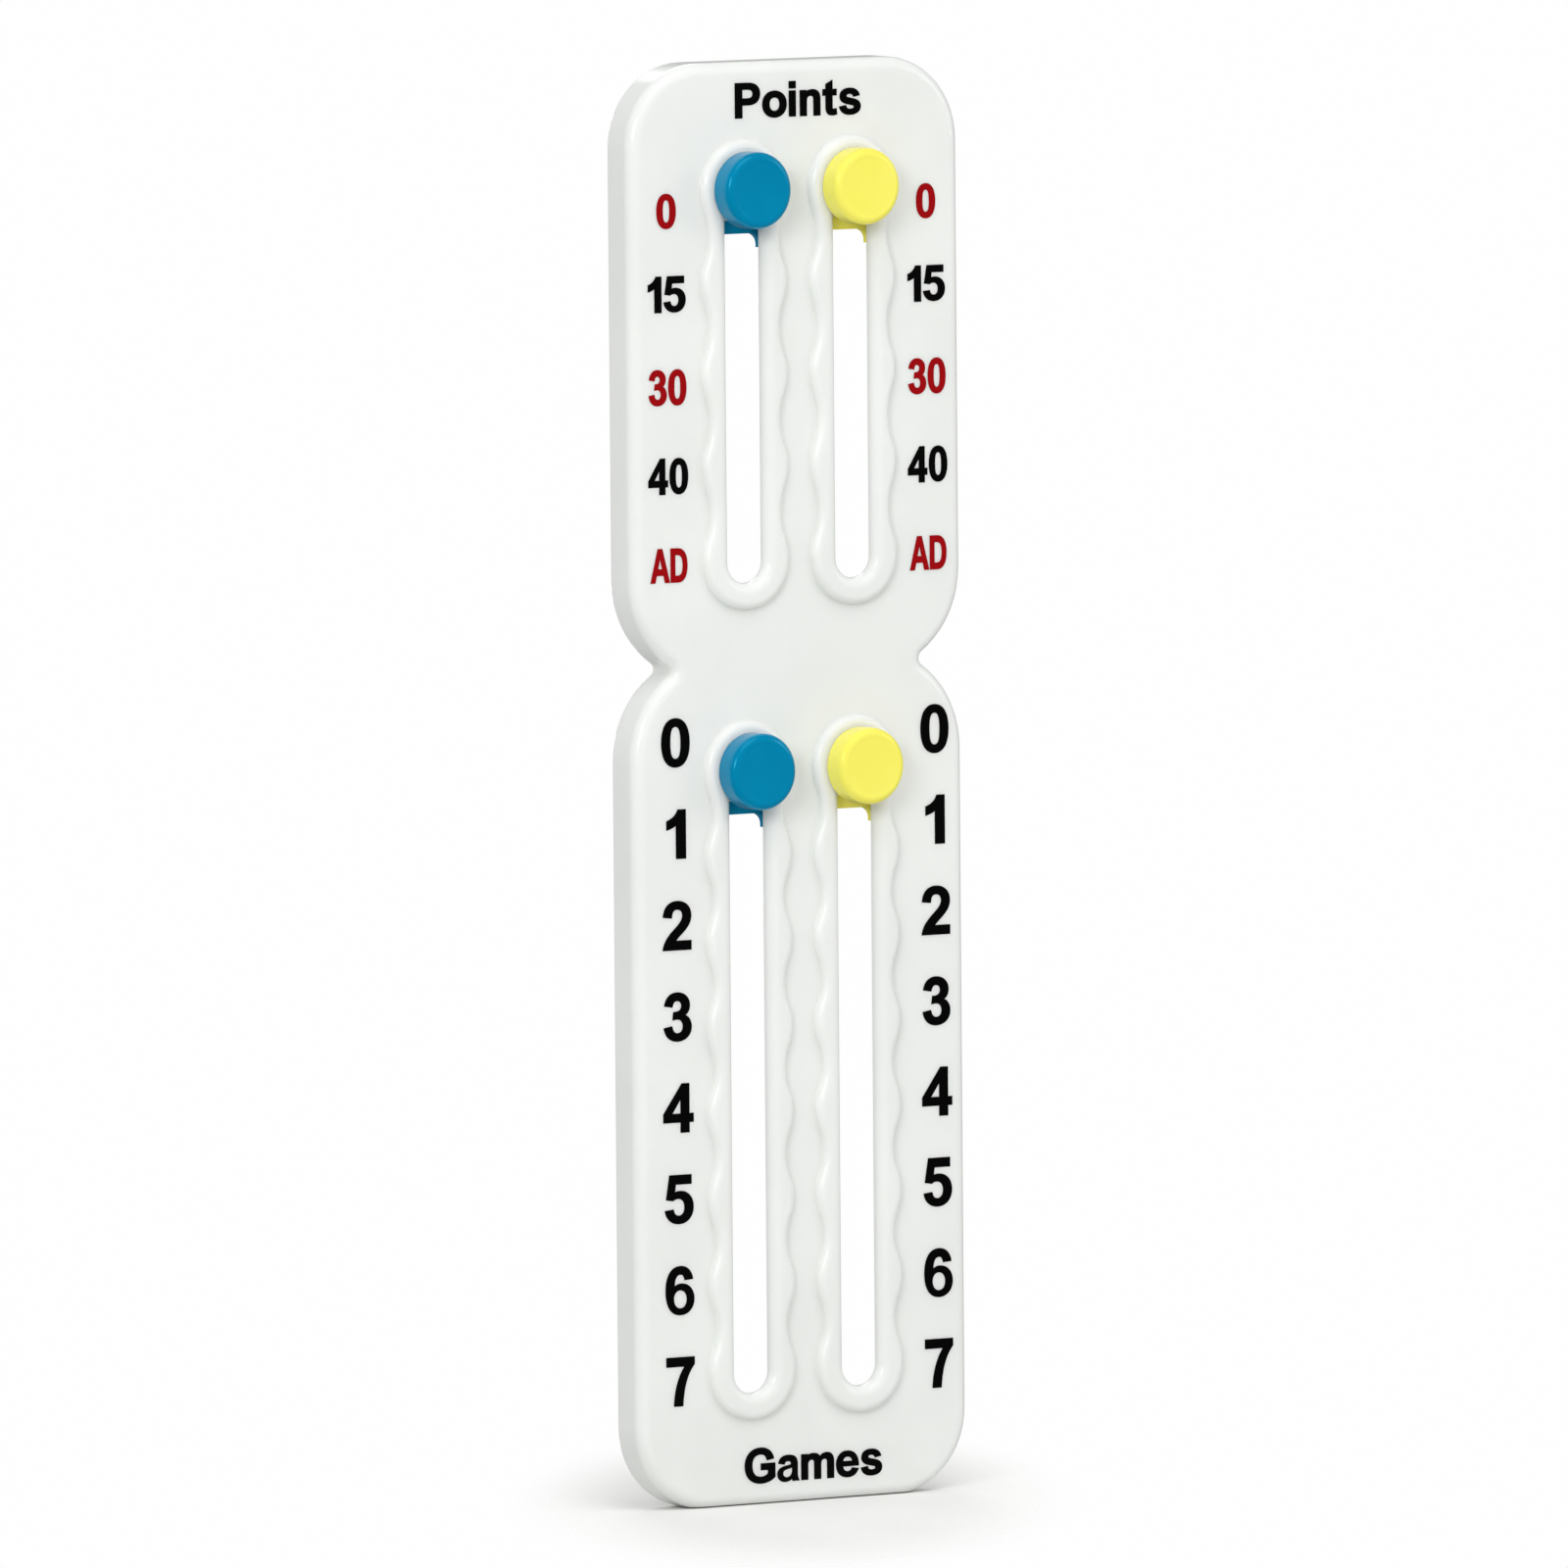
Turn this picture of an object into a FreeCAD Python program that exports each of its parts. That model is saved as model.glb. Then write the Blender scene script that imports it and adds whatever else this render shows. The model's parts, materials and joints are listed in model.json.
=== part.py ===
import FreeCAD, Part
import math
import os
import Sketcher

# Score keeper: an upright moulded board with two pairs of scalloped tracks and four sliding markers.
# Millimetres. X runs across the board, Y from front to back, Z up. The origin is the middle of the foot.

# Driving sizes, one row each in the sheet
SIZES = {
    # Board moulding
    "lower_height": 174.3,
    "upper_height": 125.7,
    "board_width": 81.0,
    "board_depth": 9.0,
    "face_thickness": 2.2,
    "skirt_thickness": 2.2,
    "corner_radius": 17.5,
    "foot_trim": 0.6,
    "waist_radius": 21.3,
    "waist_overlap": 4.8,
    "notch_radius": 1.5,
    "edge_radius": 2.4,
    "back_edge_radius": 0.5,
    "rib_thickness": 1.6,
    "rib_depth": 5.6,
    "rib_margin": 1.2,
    # Scalloped tracks
    "track_offset": 13.3,
    "track_rise": 1.9,
    "rim_width": 5.9,
    "wave_depth": 1.9,
    "root_radius": 0.3,
    "flank_height": 0.05,
    "crest_flat": 0.3,
    "recess_depth": 1.4,
    "slot_width": 9.0,
    "slot_reach": 0.4,
    "slot_wall": 0.4,
    # Middle of the first and last lobe of each field, from the field's own upper and lower end
    "points_head": 26.4,
    "points_foot": 22.5,
    "points_steps": 4,
    "games_head": 21.3,
    "games_foot": 28.0,
    "games_steps": 7,
    # Running clearance of the markers and clearance of keyed fits
    "slide_gap": 0.3,
    "fit_gap": 0.1,
    # Knob
    "knob_diameter": 16.0,
    "knob_height": 5.3,
    "knob_edge_radius": 1.4,
    "knob_wall": 1.5,
    "key_width": 4.4,
    "key_reach": 1.0,
    # Click spring
    "spring_thickness": 1.0,
    "spring_width": 1.0,
    "hub_diameter": 8.2,
    "nib_height": 0.9,
    "nib_radius": 1.3,
    "spring_bridge": 3.0,
    "spring_mouth": 4.0,
    # Slide plate behind the face
    "plate_width": 15.6,
    "plate_length": 24.6,
    "plate_thickness": 1.6,
    "plate_notch_width": 11.8,
    "plate_notch_depth": 3.0,
    "plate_notch_corner": 2.4,
    "plate_corner_radius": 0.8,
    # Retaining screw
    "screw_diameter": 2.8,
    "screw_length": 9.0,
    "screw_head_diameter": 5.5,
    "screw_head_height": 1.8,
    "screw_head_edge": 0.6,
    # Length by which a cut runs past what it cuts
    "overrun": 1.0,
}

doc = FreeCAD.newDocument("ScoreKeeper")
sheet = doc.addObject("Spreadsheet::Sheet", "Sizes")
for row, (alias, number) in enumerate(SIZES.items(), start=1):
    sheet.set(f"A{row}", alias)
    sheet.set(f"B{row}", str(number))
    sheet.setAlias(f"B{row}", alias)
doc.recompute()

# Levels along Y, measured from the front face of the board towards its back
CREST = "-Sizes.track_rise"
PANEL_BACK = "Sizes.face_thickness - Sizes.recess_depth"
FACE_BACK = "Sizes.face_thickness"
KNOB_BASE = f"{CREST} - Sizes.slide_gap"
KNOB_FRONT = f"{KNOB_BASE} - Sizes.knob_height"
KNOB_CAP_BACK = f"{KNOB_FRONT} + Sizes.knob_wall"
SHOULDER = f"{PANEL_BACK} + Sizes.slide_gap"
SPRING_BACK = f"{SHOULDER} + Sizes.spring_thickness"
PLATE_FRONT = f"{FACE_BACK} + Sizes.slide_gap"
PLATE_BACK = f"{PLATE_FRONT} + Sizes.plate_thickness"
FRONT_FACE = "-Sizes.board_depth / 2"

# Heights of the waist and of the top edge
WAIST = "Sizes.lower_height"
BOARD_TOP = f"({WAIST} + Sizes.upper_height)"

# Half widths shared by the tracks and by what runs in them
SLOT_HALF = "Sizes.slot_width / 2"
LOBE = f"({SLOT_HALF} + Sizes.rim_width)"
VALLEY = f"({LOBE} - Sizes.wave_depth)"
RECESS_LOBE = f"({LOBE} - Sizes.face_thickness)"
RECESS_VALLEY = f"({VALLEY} - Sizes.face_thickness)"
NECK_HALF = f"({SLOT_HALF} - Sizes.slide_gap)"

# Roundings of a track's rim: the outer one leaves a low straight flank, the inner one a narrow flat crest
# in the valleys and a low straight wall in the slot
CREST_RADIUS = "(Sizes.track_rise - Sizes.root_radius - Sizes.flank_height)"
CREST_ROOM = f"{VALLEY} - {SLOT_HALF} - {CREST_RADIUS} - Sizes.crest_flat"
WALL_ROOM = f"Sizes.track_rise + {PANEL_BACK} - Sizes.slot_wall"
SLOT_EDGE_RADIUS = f"min({CREST_ROOM}; {WALL_ROOM})"
RIB_OFFSET = f"(Sizes.track_offset + {LOBE} + Sizes.rib_margin)"

# The two score fields with the heights of their lower and upper ends, each with a left and a right track
FIELDS = {"points": (WAIST, BOARD_TOP), "games": ("0", WAIST)}
SIDES = {"left": -1, "right": 1}


def value(expression):
    """Number that an expression has with the present sizes."""
    return float(sheet.evalExpression(expression))


def new_body(label):
    """Empty body that becomes one piece of the product."""
    body = doc.addObject("PartDesign::Body", label)
    body.Label = label
    return body


def origin_feature(body, role):
    """Plane or axis of a body's own origin."""
    return next(item for item in body.Origin.OriginFeatures if item.Role == role)


def sketch_at(body, name, level="0", role="XZ_Plane"):
    """Sketch on one of the body's planes; on XZ it lies at the given Y level and faces the front."""
    sketch = body.newObject("Sketcher::SketchObject", name)
    sketch.AttachmentSupport = (origin_feature(body, role), [""])
    sketch.MapMode = "FlatFace"
    if level != "0":
        sketch.setExpression("AttachmentOffset.Base.z", f"-({level})")
    return sketch


def dimension(sketch, kind, *where, size):
    """Driving dimension bound to an expression over the sheet."""
    index = sketch.addConstraint(Sketcher.Constraint(kind, *where, value(size)))
    sketch.setExpression(f"Constraints[{index}]", size)


def pin_point(sketch, geometry, end, x, y):
    """Fixes a point of a sketch at two expressions; a zero puts it on that axis."""
    for kind, size, axis in (("DistanceX", x, -2), ("DistanceY", y, -1)):
        if size == "0":
            sketch.addConstraint(Sketcher.Constraint("PointOnObject", geometry, end, axis))
        else:
            dimension(sketch, kind, -1, 1, geometry, end, size=size)


def at(x, y):
    """Vector in a sketch from two numbers."""
    return FreeCAD.Vector(x, y, 0)


def arc(x, y, radius, start, end):
    """Anticlockwise arc for a sketch."""
    circle = Part.Circle(at(x, y), FreeCAD.Vector(0, 0, 1), radius)
    return Part.ArcOfCircle(circle, start, end)


def add_polygon(sketch, corners):
    """Closed polygon through corners that are pairs of expressions."""
    points = [at(value(x), value(y)) for x, y in corners]
    first = sketch.GeometryCount
    count = len(corners)
    for index in range(count):
        sketch.addGeometry(Part.LineSegment(points[index], points[(index + 1) % count]))
    for index in range(count):
        following = first + (index + 1) % count
        sketch.addConstraint(Sketcher.Constraint("Coincident", first + index, 2, following, 1))
    for index, (x, y) in enumerate(corners):
        pin_point(sketch, first + index, 1, x, y)


def add_rectangle(sketch, left, right, bottom, top):
    """Upright rectangle between four expressions."""
    add_polygon(sketch, ((left, bottom), (right, bottom), (right, top), (left, top)))


def add_circle(sketch, x, y, radius):
    """Circle whose centre and radius are expressions."""
    geometry = sketch.addGeometry(Part.Circle(at(value(x), value(y)), FreeCAD.Vector(0, 0, 1), value(radius)))
    pin_point(sketch, geometry, 3, x, y)
    dimension(sketch, "Radius", geometry, size=radius)


def add_rounded_plate(sketch, half_width, bottom, top, bottom_radius, top_radius):
    """Upright plate centred on the Z axis, with one radius at its lower and one at its upper corners."""
    half, low, high = value(half_width), value(bottom), value(top)
    small, large = value(bottom_radius), value(top_radius)
    quarter = math.pi / 2
    outline = (
        Part.LineSegment(at(small - half, low), at(half - small, low)),
        arc(half - small, low + small, small, -quarter, 0),
        Part.LineSegment(at(half, low + small), at(half, high - large)),
        arc(half - large, high - large, large, 0, quarter),
        Part.LineSegment(at(half - large, high), at(large - half, high)),
        arc(large - half, high - large, large, quarter, 2 * quarter),
        Part.LineSegment(at(-half, high - large), at(-half, low + small)),
        arc(small - half, low + small, small, 2 * quarter, 3 * quarter),
    )
    for piece in outline:
        sketch.addGeometry(piece)
    count = len(outline)
    for index in range(count):
        sketch.addConstraint(Sketcher.Constraint("Tangent", index, 2, (index + 1) % count, 1))
    for line, direction in ((0, "Horizontal"), (2, "Vertical"), (4, "Horizontal"), (6, "Vertical")):
        sketch.addConstraint(Sketcher.Constraint(direction, line))
    sketch.addConstraint(Sketcher.Constraint("Equal", 1, 7))
    sketch.addConstraint(Sketcher.Constraint("Equal", 3, 5))
    dimension(sketch, "Radius", 1, size=bottom_radius)
    dimension(sketch, "Radius", 3, size=top_radius)
    dimension(sketch, "DistanceX", -1, 1, 2, 1, size=half_width)
    dimension(sketch, "DistanceX", 6, 1, -1, 1, size=half_width)
    dimension(sketch, "DistanceY", -1, 1, 0, 1, size=bottom)
    dimension(sketch, "DistanceY", -1, 1, 4, 1, size=top)


def add_track_link(sketch, centre, top, pitch, lobe, valley):
    """One link of a scalloped track, from the middle of a lobe to the middle of the next one below.

    Each side is a lobe arc, a hollow arc and a lobe arc, tangent to one another.
    """
    hollow = f"((({pitch}) / 2) ^ 2 + {valley} ^ 2 - {lobe} ^ 2) / (2 * ({lobe} - {valley}))"
    below = f"{top} - {pitch}"
    x, high, low = value(centre), value(top), value(below)
    big, waist, small = value(lobe), value(valley), value(hollow)
    middle = (high + low) / 2
    turn = math.atan2((high - low) / 2, waist + small)
    first = sketch.GeometryCount
    upper_right = first
    right_hollow = first + 1
    lower_right = first + 2
    lower_line = first + 3
    lower_left = first + 4
    left_hollow = first + 5
    upper_left = first + 6
    upper_line = first + 7
    sketch.addGeometry(arc(x, high, big, -turn, 0))
    sketch.addGeometry(arc(x + waist + small, middle, small, math.pi - turn, math.pi + turn))
    sketch.addGeometry(arc(x, low, big, 0, turn))
    sketch.addGeometry(Part.LineSegment(at(x + big, low), at(x - big, low)))
    sketch.addGeometry(arc(x, low, big, math.pi - turn, math.pi))
    sketch.addGeometry(arc(x - waist - small, middle, small, -turn, turn))
    sketch.addGeometry(arc(x, high, big, math.pi, math.pi + turn))
    sketch.addGeometry(Part.LineSegment(at(x - big, high), at(x + big, high)))
    for one, one_end, other, other_end in (
        (upper_right, 1, right_hollow, 1),
        (right_hollow, 2, lower_right, 2),
        (lower_left, 1, left_hollow, 1),
        (left_hollow, 2, upper_left, 2),
    ):
        sketch.addConstraint(Sketcher.Constraint("Tangent", one, one_end, other, other_end))
    for one, one_end, other, other_end in (
        (lower_right, 1, lower_line, 1),
        (lower_line, 2, lower_left, 2),
        (upper_left, 1, upper_line, 1),
        (upper_line, 2, upper_right, 2),
        (upper_right, 3, upper_left, 3),
        (lower_right, 3, lower_left, 3),
    ):
        sketch.addConstraint(Sketcher.Constraint("Coincident", one, one_end, other, other_end))
    for line, lobe_arc in ((upper_line, upper_right), (lower_line, lower_right)):
        sketch.addConstraint(Sketcher.Constraint("Horizontal", line))
        sketch.addConstraint(Sketcher.Constraint("PointOnObject", lobe_arc, 3, line))
    for same in (lower_right, lower_left, upper_left):
        sketch.addConstraint(Sketcher.Constraint("Equal", upper_right, same))
    sketch.addConstraint(Sketcher.Constraint("Equal", right_hollow, left_hollow))
    dimension(sketch, "Radius", upper_right, size=lobe)
    dimension(sketch, "Radius", right_hollow, size=hollow)
    pin_point(sketch, upper_right, 3, centre, top)
    pin_point(sketch, lower_right, 3, centre, below)


def add_slot(sketch, x, bottom, top, half_width):
    """Upright slot with round ends, whose end centres and half width are expressions."""
    centre, low, high, half = value(x), value(bottom), value(top), value(half_width)
    first = sketch.GeometryCount
    sketch.addGeometry(Part.LineSegment(at(centre + half, low), at(centre + half, high)))
    sketch.addGeometry(arc(centre, high, half, 0, math.pi))
    sketch.addGeometry(Part.LineSegment(at(centre - half, high), at(centre - half, low)))
    sketch.addGeometry(arc(centre, low, half, math.pi, 2 * math.pi))
    for index in range(4):
        following = first + (index + 1) % 4
        sketch.addConstraint(Sketcher.Constraint("Tangent", first + index, 2, following, 1))
    dimension(sketch, "Radius", first + 1, size=half_width)
    pin_point(sketch, first + 1, 3, x, top)
    pin_point(sketch, first + 3, 3, x, bottom)


def extrude(body, kind, name, sketch, length, towards_back):
    """Pad or Pocket of a sketch by an expression, towards the back or the front."""
    feature = body.newObject(f"PartDesign::{kind}", name)
    feature.Profile = sketch
    feature.setExpression("Length", length)
    feature.Reversed = towards_back if kind == "Pad" else not towards_back
    before = body.Shape.Volume if body.Shape.Solids else 0
    doc.recompute()
    if (feature.Shape.Volume > before) != (kind == "Pad"):
        raise RuntimeError(f"{body.Label}: {name} changes nothing")
    return feature


def pad(body, name, sketch, length, towards_back=True):
    """Adds material along Y."""
    return extrude(body, "Pad", name, sketch, length, towards_back)


def pocket(body, name, sketch, length, towards_back=True):
    """Removes material along Y."""
    return extrude(body, "Pocket", name, sketch, length, towards_back)


def repeat_down(body, name, feature, length, copies):
    """Repeats a feature downwards over a length, with the first one counted."""
    pattern = body.newObject("PartDesign::LinearPattern", name)
    pattern.Originals = [feature]
    pattern.Direction = (origin_feature(body, "Z_Axis"), [""])
    pattern.Reversed = True
    pattern.Mode = "Extent"
    pattern.setExpression("Length", length)
    pattern.setExpression("Occurrences", copies)
    body.Tip = pattern
    doc.recompute()
    return pattern


def edges_where(shape, test):
    """Names of the edges of a shape that pass a test."""
    return [f"Edge{index}" for index, edge in enumerate(shape.Edges, start=1) if test(edge)]


def in_level(level):
    """Test for an edge that lies wholly at one Y level."""
    height = value(level)
    return lambda edge: all(
        math.isclose(bound, height, abs_tol=edge.Tolerance * 10)
        for bound in (edge.BoundBox.YMin, edge.BoundBox.YMax)
    )


def round_edges(body, name, radius, test):
    """Fillet on the edges of the body's present shape that pass a test."""
    base = body.Tip
    names = edges_where(base.Shape, test)
    if not names:
        raise RuntimeError(f"{body.Label}: {name} finds no edge")
    feature = body.newObject("PartDesign::Fillet", name)
    feature.Base = (base, names)
    feature.setExpression("Radius", radius)
    doc.recompute()
    return feature


def revolve(body, name, sketch):
    """Full turn of a half profile about the sketch's upright axis."""
    feature = body.newObject("PartDesign::Revolution", name)
    feature.Profile = sketch
    feature.ReferenceAxis = (sketch, ["V_Axis"])
    doc.recompute()
    return feature


def track_places(field):
    """Expressions for the top lobe, the pitch and the last lobe of a field."""
    low_end, high_end = FIELDS[field]
    top = f"({high_end} - Sizes.{field}_head)"
    last = f"({low_end} + Sizes.{field}_foot)"
    pitch = f"(({top} - {last}) / Sizes.{field}_steps)"
    return top, pitch, last


def track_centres():
    """Expressions for the X of the left and the right track."""
    return [f"{sign} * Sizes.track_offset" for sign in SIDES.values()]


def scalloped(body, make, name, field, level, lobe, valley, length, towards_back):
    """Adds or cuts both scalloped tracks of a field: links in a row, closed by a round end at each side."""
    top, pitch, last = track_places(field)
    links = sketch_at(body, f"{name}_link_sketch", level)
    for centre in track_centres():
        add_track_link(links, centre, top, pitch, lobe, valley)
    link = make(body, f"{name}_link", links, length, towards_back)
    copies = f"Sizes.{field}_steps"
    repeat_down(body, f"{name}_links", link, f"({copies} - 1) * {pitch}", copies)
    ends = sketch_at(body, f"{name}_end_sketch", level)
    for centre in track_centres():
        add_circle(ends, centre, top, lobe)
        add_circle(ends, centre, last, lobe)
    make(body, f"{name}_ends", ends, length, towards_back)


def at_track_foot():
    """Test for the edges in which the tracks rise from the face."""
    on_face = in_level(FRONT_FACE)
    reach = value(LOBE) + value("Sizes.slide_gap")
    offset = value("Sizes.track_offset")
    spans = [(value(last) - reach, value(top) + reach) for top, _, last in map(track_places, FIELDS)]

    def test(edge):
        box = edge.BoundBox
        across = all(abs(abs(x) - offset) < reach for x in (box.XMin, box.XMax))
        along = any(low < box.ZMin and box.ZMax < high for low, high in spans)
        return on_face(edge) and across and along

    return test


def make_board():
    """Open-backed board: two rounded plates that meet in a waist, tracks raised on the face, ribs behind."""
    body = new_body("board")
    back = "Sizes.board_depth / 2"
    face_back = f"{FRONT_FACE} + {FACE_BACK}"
    half = "Sizes.board_width / 2"
    lower_top = f"{WAIST} + Sizes.waist_overlap / 2"
    upper_bottom = f"{WAIST} - Sizes.waist_overlap / 2"
    skirt = "Sizes.skirt_thickness"

    lower = sketch_at(body, "lower_plate_sketch", back)
    add_rounded_plate(
        lower, half, "-Sizes.foot_trim", lower_top, "Sizes.corner_radius", "Sizes.waist_radius"
    )
    pad(body, "lower_plate", lower, "Sizes.board_depth", towards_back=False)
    upper = sketch_at(body, "upper_plate_sketch", back)
    add_rounded_plate(upper, half, upper_bottom, BOARD_TOP, "Sizes.waist_radius", "Sizes.corner_radius")
    pad(body, "upper_plate", upper, "Sizes.board_depth", towards_back=False)

    waist = value(WAIST)
    notch_zone = value("Sizes.notch_radius")
    depth = value("Sizes.board_depth")

    def at_notch(edge):
        """The two edges along Y where the plates' round corners cross."""
        box = edge.BoundBox
        along = math.isclose(box.YLength, depth, rel_tol=edge.Tolerance)
        return along and abs(box.Center.z - waist) < notch_zone and box.ZLength < notch_zone

    round_edges(body, "notch_rounding", "Sizes.notch_radius", at_notch)
    round_edges(body, "front_rounding", "Sizes.edge_radius", in_level(FRONT_FACE))
    round_edges(body, "back_rounding", "Sizes.back_edge_radius", in_level(back))
    trim = sketch_at(body, "foot_sketch", f"{back} + Sizes.overrun")
    trim_half = f"({half} + Sizes.overrun)"
    add_rectangle(trim, f"-{trim_half}", trim_half, "-(Sizes.foot_trim + Sizes.overrun)", "0")
    pocket(body, "foot", trim, "Sizes.board_depth + 2 * Sizes.overrun", towards_back=False)

    inner_half = f"{half} - {skirt}"
    inner_corner = f"Sizes.corner_radius - {skirt}"
    inner_waist = f"Sizes.waist_radius - {skirt}"
    hollow_depth = "Sizes.board_depth - Sizes.face_thickness"
    lower_hollow = sketch_at(body, "lower_hollow_sketch", back)
    add_rounded_plate(lower_hollow, inner_half, skirt, f"{lower_top} - {skirt}", inner_corner, inner_waist)
    pocket(body, "lower_hollow", lower_hollow, hollow_depth, towards_back=False)
    upper_hollow = sketch_at(body, "upper_hollow_sketch", back)
    add_rounded_plate(
        upper_hollow, inner_half, f"{upper_bottom} + {skirt}", f"{BOARD_TOP} - {skirt}",
        inner_waist, inner_corner,
    )
    pocket(body, "upper_hollow", upper_hollow, hollow_depth, towards_back=False)

    rib_half = "Sizes.rib_thickness / 2"
    upright = sketch_at(body, "upright_rib_sketch", face_back)
    for rib in (f"-{RIB_OFFSET}", "0", RIB_OFFSET):
        add_rectangle(
            upright, f"{rib} - {rib_half}", f"{rib} + {rib_half}",
            f"{skirt} / 2", f"{BOARD_TOP} - {skirt} / 2",
        )
    pad(body, "upright_ribs", upright, "Sizes.rib_depth")
    cross = sketch_at(body, "cross_rib_sketch", face_back)
    top_end = f"({track_places('points')[0]} + {LOBE} + {BOARD_TOP} - {skirt}) / 2"
    bottom_end = f"({track_places('games')[2]} - {LOBE} + {skirt}) / 2"
    for rib in (top_end, WAIST, bottom_end):
        add_rectangle(cross, f"-{RIB_OFFSET}", RIB_OFFSET, f"{rib} - {rib_half}", f"{rib} + {rib_half}")
    pad(body, "cross_ribs", cross, "Sizes.rib_depth")

    crest = f"{FRONT_FACE} + {CREST}"
    for field in FIELDS:
        scalloped(
            body, pad, f"{field}_track", field, FRONT_FACE, LOBE, VALLEY, "Sizes.track_rise",
            towards_back=False,
        )
    round_edges(body, "track_rounding", CREST_RADIUS, in_level(crest))
    round_edges(body, "track_root", "Sizes.root_radius", at_track_foot())
    for field in FIELDS:
        scalloped(
            body, pocket, f"{field}_recess", field, face_back, RECESS_LOBE, RECESS_VALLEY,
            "Sizes.recess_depth", towards_back=False,
        )

    slots = sketch_at(body, "slot_sketch", f"{crest} - Sizes.overrun")
    for field in FIELDS:
        top, _, last = track_places(field)
        for centre in track_centres():
            add_slot(slots, centre, f"{last} - Sizes.slot_reach", f"{top} + Sizes.slot_reach", SLOT_HALF)
    pocket(body, "slots", slots, "Sizes.face_thickness + Sizes.track_rise + Sizes.overrun")

    reach = value(SLOT_HALF) + value("Sizes.slide_gap")
    offset = value("Sizes.track_offset")
    on_crest = in_level(crest)

    def at_slot(edge):
        """The slots' edges on the crest of the tracks."""
        box = edge.BoundBox
        return on_crest(edge) and max(abs(abs(x) - offset) for x in (box.XMin, box.XMax)) < reach

    round_edges(body, "slot_rounding", SLOT_EDGE_RADIUS, at_slot)
    return body


def seat(body, field, side):
    """Puts a marker's piece on its track: its local origin is the face of the board at the top lobe."""
    body.setExpression("Placement.Base.x", f"{SIDES[side]} * Sizes.track_offset")
    body.setExpression("Placement.Base.y", FRONT_FACE)
    body.setExpression("Placement.Base.z", track_places(field)[0])


def make_knob(label):
    """Round finger knob, hollow below, with a neck through the slot and a square key for what holds it."""
    body = new_body(label)
    radius = "Sizes.knob_diameter / 2"
    profile = sketch_at(body, "cup_sketch", role="XY_Plane")
    inner = f"{radius} - Sizes.knob_wall"
    add_polygon(profile, (
        ("0", KNOB_FRONT), (radius, KNOB_FRONT), (radius, KNOB_BASE),
        (inner, KNOB_BASE), (inner, KNOB_CAP_BACK), ("0", KNOB_CAP_BACK),
    ))
    revolve(body, "cup", profile)
    round_edges(body, "cup_rounding", "Sizes.knob_edge_radius", in_level(KNOB_FRONT))
    neck = sketch_at(body, "neck_sketch", KNOB_CAP_BACK)
    add_slot(neck, "0", "-Sizes.slot_reach", "Sizes.slot_reach", NECK_HALF)
    pad(body, "neck", neck, f"{SHOULDER} - ({KNOB_CAP_BACK})")
    key = sketch_at(body, "key_sketch", SHOULDER)
    key_half = "Sizes.key_width / 2"
    add_rectangle(key, f"-{key_half}", key_half, f"-{key_half}", key_half)
    pad(body, "key", key, "Sizes.spring_thickness + Sizes.key_reach")
    pilot = sketch_at(body, "pilot_sketch", PLATE_BACK)
    add_circle(pilot, "0", "0", "Sizes.screw_diameter / 2 + Sizes.fit_gap / 2")
    pocket(body, "pilot", pilot, "Sizes.screw_length + Sizes.fit_gap", towards_back=False)
    return body


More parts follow.
